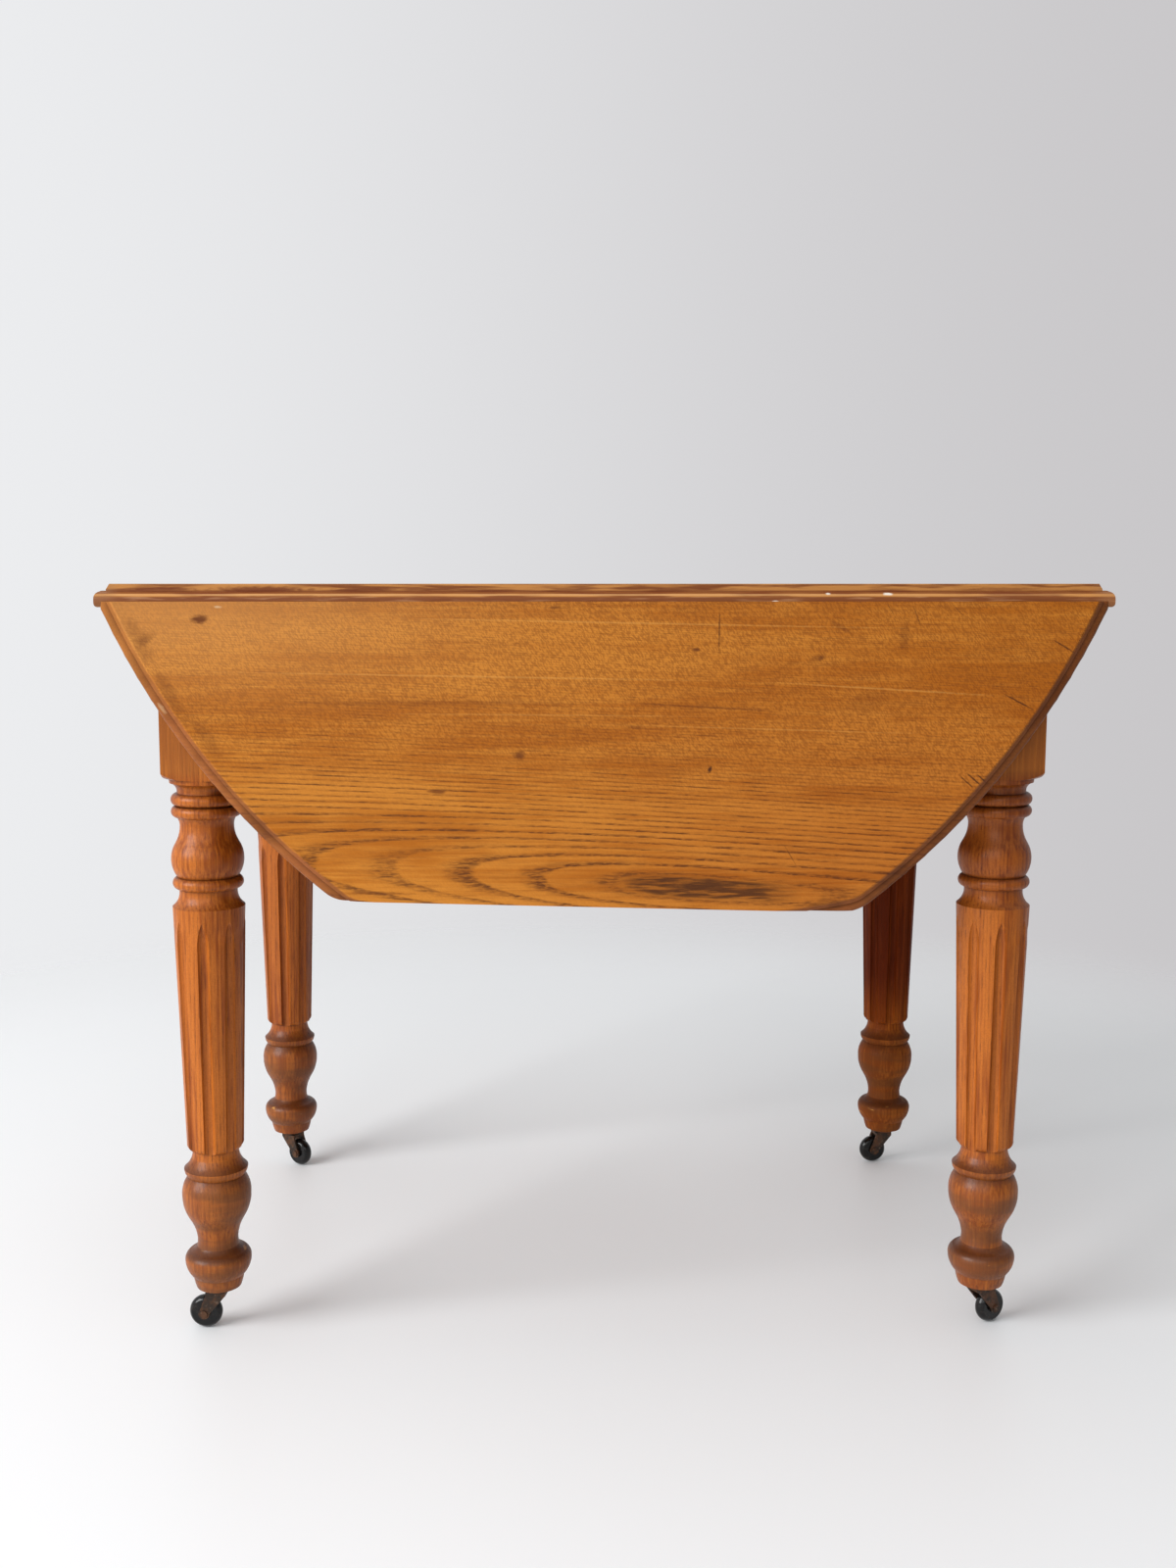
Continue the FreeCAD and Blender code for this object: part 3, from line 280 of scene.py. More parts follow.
oakLook = {
    "deep": paint(172, 98, 22), "light": paint(200, 127, 44), "line": paint(92, 48, 17), "dark": paint(80, 42, 14),
    "drift": (0.3, 0.7), "fine": 0.5, "tilt": 0.0, "crowd": 5.0,
    # fleckFrom and poreFade count rings from the centre, and so does boldTo in the looks below
    "fleckPaint": paint(130, 68, 14), "fleckFrom": (15, 38), "fleckLow": 0.1, "fleck": 0.66,
    "poreLine": (0.0, 0.6), "poreLow": 0.12, "poreFade": (20, 44), "poreFar": 0.25,
    "roughTone": (0.25, 0.75), "poreRough": 0.12, "poreDip": 0.7, "lineDip": 0.3, "depth": 0.0005,
    "shine": 0.16, "coat": 0.03, "coatRough": 0.3,
}
leafLook = {
    **oakLook, "line": paint(98, 52, 18), "centre": (0.075, -0.3105, 0.4606), "tilt": 0.065, "loops": (0.07, 0.152),
    "rings": 108.0, "crowd": 8.5, "core": 0.003, "wander": 0.9, "fleckFrom": (9, 30), "fleck": 0.56, "pore": 0.5,
    "poreLow": 0.24, "poreFade": (12, 36), "poreFar": 0.55, "boldTo": (5, 36), "bold": 1.0, "faint": 0.3,
    "rough": (0.4, 0.52), "relief": 0.25,
    # the dark eye inside the innermost ring, and how far right of the centre it fades out
    "eyePaint": paint(78, 42, 16), "eye": 1.0, "eyeRing": (1.05, 0.6), "eyeEnd": (0.12, 0.06), "eyeFaint": 0.1,
    "flame": {"stretch": (38, 420, 420), "detail": 4.0, "shift": 7.7, "span": (0.36, 0.58), "reach": (0.35, 0.95)},
    # a painted sheen of reflected light at the upper left; redder wood with painted shade at the lower right
    "sheenPaint": paint(212, 152, 86), "sheenLeft": (0.0, -0.4), "sheenHigh": (0.6, 0.72), "sheen": 0.4,
    "ruddy": (0.72, 0.52, 0.48, 1), "ruddyShadeRight": (-0.2, 0.35), "ruddyShadeLow": (0.7, 0.48), "ruddyShadeReach": (0.1, 0.6),
    # how far from the table's middle the inner face ends and the outer face begins
    "innerEnd": (0.2909, 0.2919), "underside": (0.78, 0.7, 0.66, 1), "outerStart": (0.3102, 0.3088),
    # the moulded edge: darker patches, painted shade that darkens it to the right, and painted light that makes it
    # paler at the upper left
    "bandPaint": paint(150, 86, 46), "bandDarkAndShade": paint(96, 50, 24), "band": 0.8,
    "bandTone": {"stretch": (18, 18, 18), "detail": 3.0, "span": (0.35, 0.68)},
    "bandShadeSpan": (0.05, 0.4), "bandShadeMost": 0.75, "bandLitHigh": (0.6, 0.69), "bandLitLeft": (0.1, -0.1), "bandLitMost": 0.3,
    # painted shade where faces of the leaf lie close together
    "gapShadePaint": paint(70, 32, 12), "gapShadeReach": 0.006, "gapShadeSamples": 6, "gapShadeSpan": (0.45, 0.9), "gapShadeMost": 0.7,
    "markPaint": paint(92, 42, 12), "scratchPaint": paint(70, 34, 14), "streakPaint": paint(222, 158, 78),
    "chipPaint": paint(206, 168, 126),
    # x, z, turn, half length, half width, weight
    "marks": (
        (-0.3646, 0.7053, 0.0, 0.010, 0.0050, 0.9), (-0.0778, 0.5823, 0.2, 0.007, 0.0060, 0.75),
        (-0.1537, 0.5492, 0.0, 0.011, 0.0026, 0.75), (0.0813, 0.6780, -0.3, 0.005, 0.0028, 0.8),
        (0.1947, 0.6709, 0.5, 0.005, 0.0028, 0.6), (-0.4134, 0.6878, 0.6, 0.012, 0.0060, 0.4),
        (-0.0458, 0.7157, 0.0, 0.007, 0.0018, 0.7), (0.2120, 0.6980, -0.5, 0.016, 0.0030, 0.4),
        (0.2690, 0.6890, 1.45, 0.020, 0.0060, 0.32), (0.1900, 0.6700, 0.3, 0.010, 0.0040, 0.35),
        (-0.1500, 0.6300, 0.0, 0.190, 0.0032, 0.26), (0.0900, 0.6262, -0.05, 0.075, 0.0017, 0.5),
        (0.2350, 0.6300, 0.3, 0.030, 0.0120, 0.2), (0.0260, 0.6080, -0.2, 0.009, 0.0022, 0.45),
        (-0.4200, 0.6880, -1.1, 0.034, 0.0090, 0.3), (-0.3930, 0.6380, -1.08, 0.030, 0.0080, 0.32),
        (-0.3620, 0.6000, -0.95, 0.030, 0.0090, 0.28), (-0.2090, 0.4556, -0.024, 0.042, 0.0022, 0.5),
    ),
    "scratches": (
        (0.1020, 0.6950, 1.57, 0.026, 0.0009, 0.75), (0.0950, 0.5696, 1.2, 0.0042, 0.0026, 0.95),
        (0.4128, 0.6814, -0.535, 0.015, 0.0010, 0.8), (0.3747, 0.6305, -0.486, 0.022, 0.0010, 0.85),
        (0.3360, 0.5600, -0.72, 0.013, 0.0011, 0.9), (0.3440, 0.5600, -0.72, 0.011, 0.0010, 0.9),
        (0.3290, 0.5580, -0.72, 0.012, 0.0009, 0.8), (0.1696, 0.4900, -1.03, 0.013, 0.0007, 0.6),
        (0.2560, 0.7140, -1.0, 0.010, 0.0007, 0.5), (0.2800, 0.7080, -1.2, 0.015, 0.0007, 0.5),
        (0.3170, 0.7130, -0.8, 0.013, 0.0007, 0.5),
    ),
    "streaks": (
        (0.0315, 0.7018, -0.02, 0.310, 0.0011, 0.3), (-0.1230, 0.6540, -0.018, 0.270, 0.0012, 0.34),
        (0.2600, 0.6420, -0.06, 0.120, 0.0012, 0.34), (-0.0500, 0.6190, -0.01, 0.200, 0.0010, 0.22),
        (0.1500, 0.6060, -0.03, 0.160, 0.0010, 0.24),
    ),
    "chips": ((-0.4020, 0.6250, -0.9, 0.008, 0.0026, 0.45), (-0.3483, 0.7165, 0.0, 0.005, 0.0016, 0.9)),
}


def mirrored(marks, spread, drop=0.0):
    return [(-x * spread, z - drop, -turn, *size) for x, z, turn, *size in marks]


# The far leaf has its own grain and a few marks of its own
rearLeafLook = {
    **leafLook, "centre": (-0.12, 0.3105, 0.4706), "eye": 0.6, "marks": mirrored(leafLook["marks"][1:6], 0.8),
    "scratches": mirrored(leafLook["scratches"][2:6], 0.9, 0.02), "streaks": leafLook["streaks"][:2], "chips": (),
}


def leafFinish(name, look):
    made, tree, place, shader = newFinish(name)
    x, y, z = axes(tree, place)
    grain = grainOf(tree, place, look)
    colour = oakColour(tree, grain, look)
    # painted sheen: reflected window light laid on the upper left as a paler colour
    sheen = times(tree, ease(tree, x, *look["sheenLeft"]), ease(tree, z, *look["sheenHigh"], 0.0, look["sheen"]))
    colour = tint(tree, sheen, colour, look["sheenPaint"])
    # darker and redder towards the lower right: partly redder wood, partly painted shade away from the window lamp
    ruddyShade = times(tree, ease(tree, x, *look["ruddyShadeRight"]), ease(tree, z, *look["ruddyShadeLow"], *look["ruddyShadeReach"]))
    colour = tint(tree, ruddyShade, colour, look["ruddy"], "MULTIPLY")
    eyeEnd = ease(tree, x, *(look["centre"][0] + far for far in look["eyeEnd"]), look["eyeFaint"], 1.0)
    eye = times(tree, ease(tree, grain["Ring"], *look["eyeRing"]), patches(tree, place, **look["flame"]), eyeEnd)
    colour = tint(tree, times(tree, eye, look["eye"]), colour, look["eyePaint"])
    depth = calc(tree, "ABSOLUTE", y)
    shown = ease(tree, depth, *look["innerEnd"])  # keeps marks and edge off the inner face
    colour = addMarks(tree, place, colour, look["marks"], look["markPaint"], shown)
    colour = addMarks(tree, place, colour, look["streaks"], look["streakPaint"], shown)
    colour = addMarks(tree, place, colour, look["scratches"], look["scratchPaint"], shown)
    colour = tint(tree, ease(tree, shown, 0.0, 1.0, 1.0, 0.0), colour, look["underside"], "MULTIPLY")
    # painted shade: the band grows darker to the right, away from the window lamp
    right = ease(tree, x, *look["bandShadeSpan"], 0.0, look["bandShadeMost"])
    bandTone = calc(tree, "MAXIMUM", patches(tree, place, **look["bandTone"]), right)
    bandColour = tint(tree, bandTone, look["bandPaint"], look["bandDarkAndShade"])
    # painted light: the band is paler at the upper left, near the window lamp
    high = times(tree, ease(tree, z, *look["bandLitHigh"], 0.0, look["bandLitMost"]), ease(tree, x, *look["bandLitLeft"]))
    bandColour = tint(tree, high, bandColour, look["light"])
    band = times(tree, ease(tree, depth, *look["outerStart"]), shown, look["band"])
    colour = tint(tree, band, colour, bandColour)
    colour = addMarks(tree, place, colour, look["chips"], look["chipPaint"], shown)
    # painted shade: darker where faces of the leaf lie close together
    gapShade = ease(tree, shadeFromCloseFaces(tree, look["gapShadeReach"], look["gapShadeSamples"]), *look["gapShadeSpan"], look["gapShadeMost"], 0.0)
    colour = tint(tree, gapShade, colour, look["gapShadePaint"])
    oakSurface(tree, shader, grain, colour, look)
    return made


nodes["leaf_front"].material_slots[0].material = leafFinish("leafOakFront", leafLook)
nodes["leaf_rear"].material_slots[0].material = leafFinish("leafOakRear", rearLeafLook)
print("leaves finished")


topLook = {
    **oakLook, "centre": (-0.15, 0.0, 0.70), "loops": (0.09, 0.11), "rings": 110.0, "core": 0.03, "wander": 0.9,
    "boldTo": (4, 30), "bold": 0.85, "faint": 0.3, "pore": 0.6, "rough": (0.36, 0.48), "relief": 0.25,
    # width of a board, number of the one behind the middle, and reach of a seam in widths
    "board": 0.1475, "middleBoard": 4.0, "seam": (0.001, 0.004), "seamDark": 0.7,
    "ruddy": (0.8, 0.66, 0.6, 1), "ruddyMost": 0.3,
    # where the moulded edges start from the middle, then heights on them
    "sideStart": (0.2934, 0.2949), "endStart": (0.4465, 0.4495), "edge": 0.92, "edgeRough": 0.06,
    "lipPaint": paint(198, 136, 72), "lipStainAndShade": paint(112, 52, 24), "lipFrom": (0.7246, 0.7262),
    "stain": {"stretch": (16, 60, 240), "detail": 3.0, "shift": 0.9, "span": (0.42, 0.62), "reach": (0.0, 0.85)},
    # painted shade on the lower, downward-facing part of the edge, with paler rubbed patches
    "underShadePaint": paint(122, 68, 36), "rubPaint": paint(172, 124, 86),
    "rubbed": {"stretch": (26, 90, 300), "detail": 3.0, "shift": 2.2, "span": (0.5, 0.68), "reach": (0.0, 0.7)},
    # painted shade in the groove band above the crest, and a painted highlight along the crest
    "grooveShade": ((0.7276, 0.7284), (0.7318, 0.73)), "grooveShadeMost": 0.8, "crestHighlight": ((0.726, 0.7268), (0.728, 0.7272)),
    # the crest's pale line is a painted highlight and the arris's pale line is wear; both share one paint and fade to
    # the right
    "arris": (0.7358, 0.7368), "arrisWorn": 0.5, "wornAndHighlightPaint": paint(206, 156, 102),
    "worn": {"stretch": (16, 60, 60), "detail": 3.0, "shift": 4.4, "span": (0.3, 0.6), "reach": (0.45, 0.95)},
    "wornAndLitRight": (0.1, 0.4), "wornAndLitLeast": 0.5,
    "tip": (0.436, 0.456), "tipWorn": 0.65, "tipPaint": paint(164, 118, 80), "chipPaint": paint(238, 230, 218),
    # x, z, turn, half length, half width, weight
    "marks": (
        (-0.310, 0.7318, 0.0, 0.060, 0.0040, 0.85), (-0.400, 0.7312, 0.0, 0.040, 0.0034, 0.7),
        (-0.215, 0.7318, 0.0, 0.034, 0.0034, 0.7), (0.360, 0.7322, 0.0, 0.050, 0.0022, 0.5),
        (0.090, 0.7320, 0.0, 0.060, 0.0016, 0.4), (-0.290, 0.7262, 0.0, 0.060, 0.0016, 0.7),
    ),
    "chips": (
        (0.2550, 0.7279, 0.0, 0.0052, 0.0016, 0.9), (0.2010, 0.7279, 0.0, 0.0030, 0.0012, 0.8),
        (0.1533, 0.7209, 0.0, 0.0036, 0.0014, 0.8),
    ),
}


def topFinish(look):
    made, tree, place, shader = newFinish("topOak")
    x, y, z = axes(tree, place)
    outX, outY = calc(tree, "ABSOLUTE", x), calc(tree, "ABSOLUTE", y)
    boards = calc(tree, "ADD", calc(tree, "DIVIDE", y, look["board"]), look["middleBoard"])
    draw = oneDraw(tree, calc(tree, "FLOOR", boards))["Color"]
    pickY, pickX, pickTone = put(tree, "ShaderNodeSeparateColor", {0: draw}).outputs
    # each board is cut from its own log
    across = times(tree, calc(tree, "SUBTRACT", calc(tree, "FRACT", boards), pickY), look["board"])
    laid = joined(tree, calc(tree, "ADD", x, centred(tree, pickX)), across, z)
    grain = grainOf(tree, laid, look)
    colour = oakColour(tree, grain, look)
    colour = tint(tree, ease(tree, pickTone, 0.0, 1.0, 0.0, look["ruddyMost"]), colour, look["ruddy"], "MULTIPLY")
    fromSeam = calc(tree, "ABSOLUTE", centred(tree, calc(tree, "FRACT", calc(tree, "ADD", boards, 0.5))))
    colour = tint(tree, ease(tree, fromSeam, *look["seam"], look["seamDark"], 0.0), colour, look["dark"])
    edge = calc(tree, "MAXIMUM", ease(tree, outY, *look["sideStart"]), ease(tree, outX, *look["endStart"]))
    lip = tint(tree, patches(tree, place, **look["stain"]), look["lipPaint"], look["lipStainAndShade"])
    front = calc(tree, "LESS_THAN", y, 0.0)
    lip = addMarks(tree, place, lip, look["marks"], look["lipStainAndShade"], front)
    # painted shade below the lip, broken by paler rubbed patches
    underShadeRubbed = tint(tree, patches(tree, place, **look["rubbed"]), look["underShadePaint"], look["rubPaint"])
    edgeColour = tint(tree, ease(tree, z, *look["lipFrom"]), underShadeRubbed, lip)
    # painted shade in the groove above the crest, in the colour of the lip's stain
    grooveShade = times(tree, between(tree, z, *look["grooveShade"]), look["grooveShadeMost"])
    edgeColour = tint(tree, grooveShade, edgeColour, look["lipStainAndShade"])
    # a painted highlight along the crest and wear on the arris, broken into patches and weaker to the right
    arris = ease(tree, z, *look["arris"], 0.0, look["arrisWorn"])
    raised = calc(tree, "MAXIMUM", between(tree, z, *look["crestHighlight"]), arris)
    worn = patches(tree, place, **look["worn"])
    wornAndHighlit = times(tree, raised, worn, ease(tree, x, *look["wornAndLitRight"], 1.0, look["wornAndLitLeast"]))
    edgeColour = tint(tree, wornAndHighlit, edgeColour, look["wornAndHighlightPaint"])
    tip = times(tree, ease(tree, outX, *look["tip"], 0.0, look["tipWorn"]), worn)
    edgeColour = tint(tree, tip, edgeColour, look["tipPaint"])
    colour = tint(tree, times(tree, edge, look["edge"]), colour, edgeColour)
    colour = addMarks(tree, place, colour, look["chips"], look["chipPaint"], front)
    oakSurface(tree, shader, grain, colour, look, times(tree, edge, look["edgeRough"]))
    return made


nodes["top_panel"].material_slots[0].material = topFinish(topLook)
print("top finished")


legLook = {
    **oakLook, "deep": paint(142, 68, 16), "light": paint(190, 106, 34), "line": paint(92, 40, 10),
    "fleckPaint": paint(136, 64, 16), "fleckFrom": (0, 1), "fleckLow": 0.25, "fleck": 0.25, "fine": 0.9,
    "loops": (0.5, 0.6), "rings": 130.0, "core": 0.004, "wander": 1.0, "boldTo": (10, 40), "bold": 0.48,
    "faint": 0.4, "pore": 0.62, "rough": (0.36, 0.48), "relief": 0.3, "coat": 0.18, "coatRough": 0.24,
    # painted shadow of the leaf with some darker stain, set by leg and weaker at the foot, which the lamp reaches; a
    # leg darkened more than dullFrom has little gloss
    "stain": (0.26, 0.09, 0.1, 1), "shadowAndStainFrom": (0.16, 0.26), "shadowAndStainBelow": 0.3,
    "leafShadowAndStain": {"front_left": 0.04, "front_right": 0.03, "rear_left": 0.2, "rear_right": 0.85},
    "dullFrom": 0.5, "dulled": {"shine": 0.05, "coat": 0.0, "coatRough": 0.3},
    # painted shadow of the leaf over the collars of the front right leg
    "shadedCollars": ((0.42, 0.45), (0.565, 0.56)), "collarShadow": {"front_right": 0.32},
    "blockPaint": paint(180, 114, 46), "blockFrom": (0.55, 0.565), "block": 0.35,
    "dullPaint": paint(98, 58, 30), "dullBelow": (0.2, 0.14),
    "smear": {"stretch": (14, 14, 70), "detail": 3.0, "shift": 9.4, "span": (0.35, 0.65), "reach": (0.3, 0.75)},
    # grime settles on faces that look up, most of all low down
    "grime": paint(72, 36, 18), "grimeFacing": (0.2, 0.75), "grimeHeight": (0.5, 0.2), "grimeReach": (0.25, 0.7),
    # painted shade in the grooves between the beads, weaker in the flutes
    "grooveShadePaint": paint(60, 24, 8), "grooveShadeReach": 0.014, "grooveShadeSamples": 8, "grooveShadeSpan": (0.35, 0.92),
    "grooveShadeMost": 0.8, "flutes": ((0.19, 0.2), (0.44, 0.43)), "fluteShadeShare": 0.45,
    "scuffPaint": paint(206, 146, 72), "foot": ((0.062, 0.07), (0.09, 0.076)),
    "scuff": {"stretch": (60, 60, 260), "detail": 3.0, "shift": 6.1, "span": (0.66, 0.74), "reach": (0.0, 0.8)},
    # where the log's centre lies from each leg's own axis, and how far up
    "logs": {
        "front_left": (0.12, 0.04, 0.15), "front_right": (-0.13, 0.03, 0.5),
        "rear_left": (0.1, 0.06, 0.3), "rear_right": (-0.12, 0.05, 0.45),
    },
}


def legFinish(corner, look):
    made, tree, place, shader = newFinish("legOak_" + corner)
    low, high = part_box("leg_" + corner)
    middle = (low + high) / 2
    offX, offY, up = look["logs"][corner]
    x, y, z = axes(tree, place)
    grain = grainOf(tree, joined(tree, z, x, y), {**look, "centre": (up, middle.x + offX, middle.y + offY)})
    stain = look["leafShadowAndStain"][corner]
    # painted shadow of the leaf, partly a darker stain, weaker at the foot
    leafShadowAndStain = ease(tree, z, *look["shadowAndStainFrom"], look["shadowAndStainBelow"] * stain, stain)
    colour = tint(tree, leafShadowAndStain, oakColour(tree, grain, look), look["stain"], "MULTIPLY")
    # painted shadow of the leaf on the collars
    if corner in look["collarShadow"]:
        shadedCollars = times(tree, between(tree, z, *look["shadedCollars"]), look["collarShadow"][corner])
        colour = tint(tree, shadedCollars, colour, look["stain"], "MULTIPLY")
    colour = tint(tree, ease(tree, z, *look["blockFrom"], 0.0, look["block"]), colour, look["blockPaint"])
    smear = times(tree, patches(tree, place, **look["smear"]), ease(tree, z, *look["dullBelow"]))
    colour = tint(tree, smear, colour, look["dullPaint"])
    facing = axes(tree, put(tree, "ShaderNodeNewGeometry").outputs["Normal"])[2]
    lowDown = ease(tree, z, *look["grimeHeight"], *look["grimeReach"])
    colour = tint(tree, times(tree, ease(tree, facing, *look["grimeFacing"]), lowDown), colour, look["grime"])
    # painted shade: darker where faces of the leg lie close together
    shade = shadeFromCloseFaces(tree, look["grooveShadeReach"], look["grooveShadeSamples"])
    shade = ease(tree, shade, *look["grooveShadeSpan"], look["grooveShadeMost"], 0.0)
    fluted = ease(tree, between(tree, z, *look["flutes"]), 0.0, 1.0, 1.0, look["fluteShadeShare"])
    colour = tint(tree, times(tree, shade, fluted), colour, look["grooveShadePaint"])
    scuffed = times(tree, patches(tree, place, **look["scuff"]), between(tree, z, *look["foot"]))
    colour = tint(tree, scuffed, colour, look["scuffPaint"])
    oakSurface(tree, shader, grain, colour, {**look, **look["dulled"]} if stain > look["dullFrom"] else look)
    return made


for corner in corners:
    nodes["leg_" + corner].material_slots[0].material = legFinish(corner, legLook)
print("legs finished")


frameLook = {
    **oakLook, "deep": paint(146, 78, 24), "light": paint(186, 112, 44), "line": paint(98, 50, 17),
    "fleckPaint": paint(124, 66, 22), "fleckFrom": (0, 1), "fleckLow": 0.25, "fleck": 0.25,
    "loops": (0.12, 0.15), "rings": 105.0, "core": 0.006, "wander": 0.9, "boldTo": (4, 24), "bold": 0.8,
    "faint": 0.5, "pore": 0.6, "rough": (0.5, 0.64), "relief": 0.35,
    "log": (0.08, 0.03, 0.012),  # where the log's centre lies from the middle of each piece
    "along": {"x": (0, 1, 2), "y": (1, 0, 2), "z": (2, 0, 1)},  # order of the axes that puts the grain along a piece
}


def frameFinish(name, look, along):
    made, tree, place, shader = newFinish(name + "_oak")
    low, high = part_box(name)
    middle = (low + high) / 2
    split = axes(tree, place)
    order = look["along"][along]
    centre = [middle[axis] + off for axis, off in zip(order, look["log"])]
    grain = grainOf(tree, joined(tree, *(split[axis] for axis in order)), {**look, "centre": centre})
    oakSurface(tree, shader, grain, oakColour(tree, grain, look), look)
    nodes[name].material_slots[0].material = made


for name in ("side_rail_front", "side_rail_rear", "prop_cleats_front", "prop_cleats_rear"):
    frameFinish(name, frameLook, "x")
for name in ("end_rail_left", "end_rail_right"):
    frameFinish(name, frameLook, "y")
for corner in corners:
    frameFinish("corner_block_" + corner, frameLook, "x")
    frameFinish("prop_arm_" + corner, frameLook, "z")
print("rails, blocks and props finished")


ironLook = {
    "ground": paint(50, 38, 30), "rust": paint(86, 56, 36), "rubbed": paint(122, 102, 86), "metal": 0.55,
    "patch": {"stretch": (140, 140, 140), "detail": 4.0, "span": (0.38, 0.64)},
    "worn": {"stretch": (320, 320, 320), "shift": 4.2, "span": (0.6, 0.75), "reach": (0.0, 0.55)},
    "grit": {"stretch": (900, 900, 900), "detail": 3.0, "shift": 1.3}, "roughGrit": (0.25, 0.75), "rough": (0.42, 0.7),
    "relief": 0.35, "depth": 0.0004,
}
hingeLook = {**ironLook, "ground": paint(48, 44, 40), "rust": paint(78, 58, 44), "metal": 0.8}
steelLook = {
    **ironLook, "ground": paint(120, 112, 102), "rust": paint(96, 72, 52), "rubbed": paint(176, 170, 160), "metal": 1.0,
    "rough": (0.3, 0.5), "relief": 0.15,
}


def ironFinish(name, look):
    made, tree, place, shader = newFinish(name)
    colour = tint(tree, patches(tree, place, **look["patch"]), look["ground"], look["rust"])
    colour = tint(tree, patches(tree, place, **look["worn"]), colour, look["rubbed"])
    grit = speckle(tree, place, **look["grit"])
    feed(tree, shader, {
        "Base Color": colour, "Metallic": look["metal"], "Normal": bumped(tree, grit, look),
        "Roughness": ease(tree, grit, *look["roughGrit"], *look["rough"]),
    })
    return made


wheelLook = {
    "ground": paint(13, 12, 12), "dustPaint": paint(84, 74, 66), "rough": (0.16, 0.34), "relief": 0.1, "depth": 0.0003,
    "dust": {"stretch": (120, 120, 120), "detail": 4.0, "span": (0.52, 0.75)},
    "tread": (0.004, 0.0), "treadReach": (0.15, 0.6),  # heights near the floor, where the dust is thicker
    "fine": {"stretch": (600, 600, 600)}, "shine": 0.25, "coat": 0.1, "coatRough": 0.12,
}


def wheelFinish(look):
    made, tree, place, shader = newFinish("wheelBlack")
    dust = patches(tree, place, **look["dust"])
    low = ease(tree, axes(tree, place)[2], *look["tread"], *look["treadReach"])
    feed(tree, shader, {
        "Base Color": tint(tree, times(tree, dust, low), look["ground"], look["dustPaint"]),
        "Roughness": ease(tree, dust, 0.0, 1.0, *look["rough"]),
        "Normal": bumped(tree, speckle(tree, place, **look["fine"]), look), "Specular IOR Level": look["shine"],
        "Coat Weight": look["coat"], "Coat Roughness": look["coatRough"],
    })
    return made


casterIron = ironFinish("casterIron", ironLook)
hingeIron = ironFinish("hingeIron", hingeLook)
screwSteel = ironFinish("screwSteel", steelLook)
wheelBlack = wheelFinish(wheelLook)
for corner in corners:
    for stem in ("caster_socket_", "caster_fork_", "caster_axle_"):
        nodes[stem + corner].material_slots[0].material = casterIron
    for stem in ("hinge_top_plate_", "hinge_leaf_plate_", "prop_bracket_"):
        nodes[stem + corner].material_slots[0].material = hingeIron
    nodes["caster_wheel_" + corner].material_slots[0].material = wheelBlack
for name in ("hinge_pins", "prop_pins"):
    nodes[name].material_slots[0].material = screwSteel
print("iron and wheels finished")


screwLook = {"headSides": 24, "shankSides": 16, "cutterLength": 1.0, "mostTurn": 6.28, "seed": 7}
screwMeasures = ("Head Radius", "Sink", "Shank Radius", "Length", "Slot Width", "Slot Depth")


# Slotted countersunk screws, one shape set on every screw place of a group
def makeScrewTree(look):
    tree, given = newGroup("slottedScrews", "GeometryNodeTree", {
        "Places": "Geometry", **dict.fromkeys(screwMeasures, "Float"), "Metal": "Material",
    }, {"Screws": "Geometry"})
    head = put(tree, "GeometryNodeMeshCone", {
        "Vertices": look["headSides"], "Radius Bottom": given["Head Radius"], "Radius Top": given["Shank Radius"],
        "Depth": given["Sink"],
    }).outputs["Mesh"]
    slotSize = joined(tree, look["cutterLength"], given["Slot Width"], given["Slot Depth"])
    slot = put(tree, "GeometryNodeMeshCube", {"Size": slotSize}).outputs["Mesh"]
    cut = put(tree, "GeometryNodeMeshBoolean", {"Mesh 1": head, "Mesh 2": slot}, operation="DIFFERENCE").outputs["Mesh"]
    shank = put(tree, "GeometryNodeMeshCylinder", {
        "Vertices": look["shankSides"], "Radius": given["Shank Radius"],
        "Depth": calc(tree, "SUBTRACT", given["Length"], given["Sink"]),
    }).outputs["Mesh"]
    middle = times(tree, calc(tree, "ADD", given["Length"], given["Sink"]), 0.5)
    feeds = {"Geometry": shank, "Translation": joined(tree, 0.0, 0.0, middle)}
    shank = put(tree, "GeometryNodeTransform", feeds).outputs[0]
    screw = put(tree, "GeometryNodeJoinGeometry")
    tree.links.new(shank, screw.inputs[0])
    tree.links.new(cut, screw.inputs[0])
    aim = put(tree, "GeometryNodeInputNamedAttribute", {"Name": "aim"}, data_type="FLOAT_VECTOR").outputs["Attribute"]
    facing = put(tree, "FunctionNodeAlignRotationToVector", {"Vector": aim}, axis="Z").outputs[0]
    feeds = {"Min": 0.0, "Max": look["mostTurn"], "Seed": look["seed"]}
    spin = put(tree, "FunctionNodeRandomValue", feeds, data_type="FLOAT")
    feeds = {"Axis": (0, 0, 1), "Angle": next(out for out in spin.outputs if out.enabled)}
    spun = put(tree, "FunctionNodeAxisAngleToRotation", feeds).outputs[0]
    turned = put(tree, "FunctionNodeRotateRotation", {"Rotation": facing, "Rotate By": spun}, rotation_space="LOCAL")
    feeds = {"Points": given["Places"], "Instance": screw.outputs[0], "Rotation": turned.outputs[0]}
    placed = put(tree, "GeometryNodeInstanceOnPoints", feeds).outputs[0]
    real = put(tree, "GeometryNodeRealizeInstances", {0: placed}).outputs[0]
    done = put(tree, "GeometryNodeSetMaterial", {"Geometry": real, "Material": given["Metal"]}).outputs[0]
    put(tree, "NodeGroupOutput", {"Screws": done})
    return tree


screwTree = makeScrewTree(screwLook)
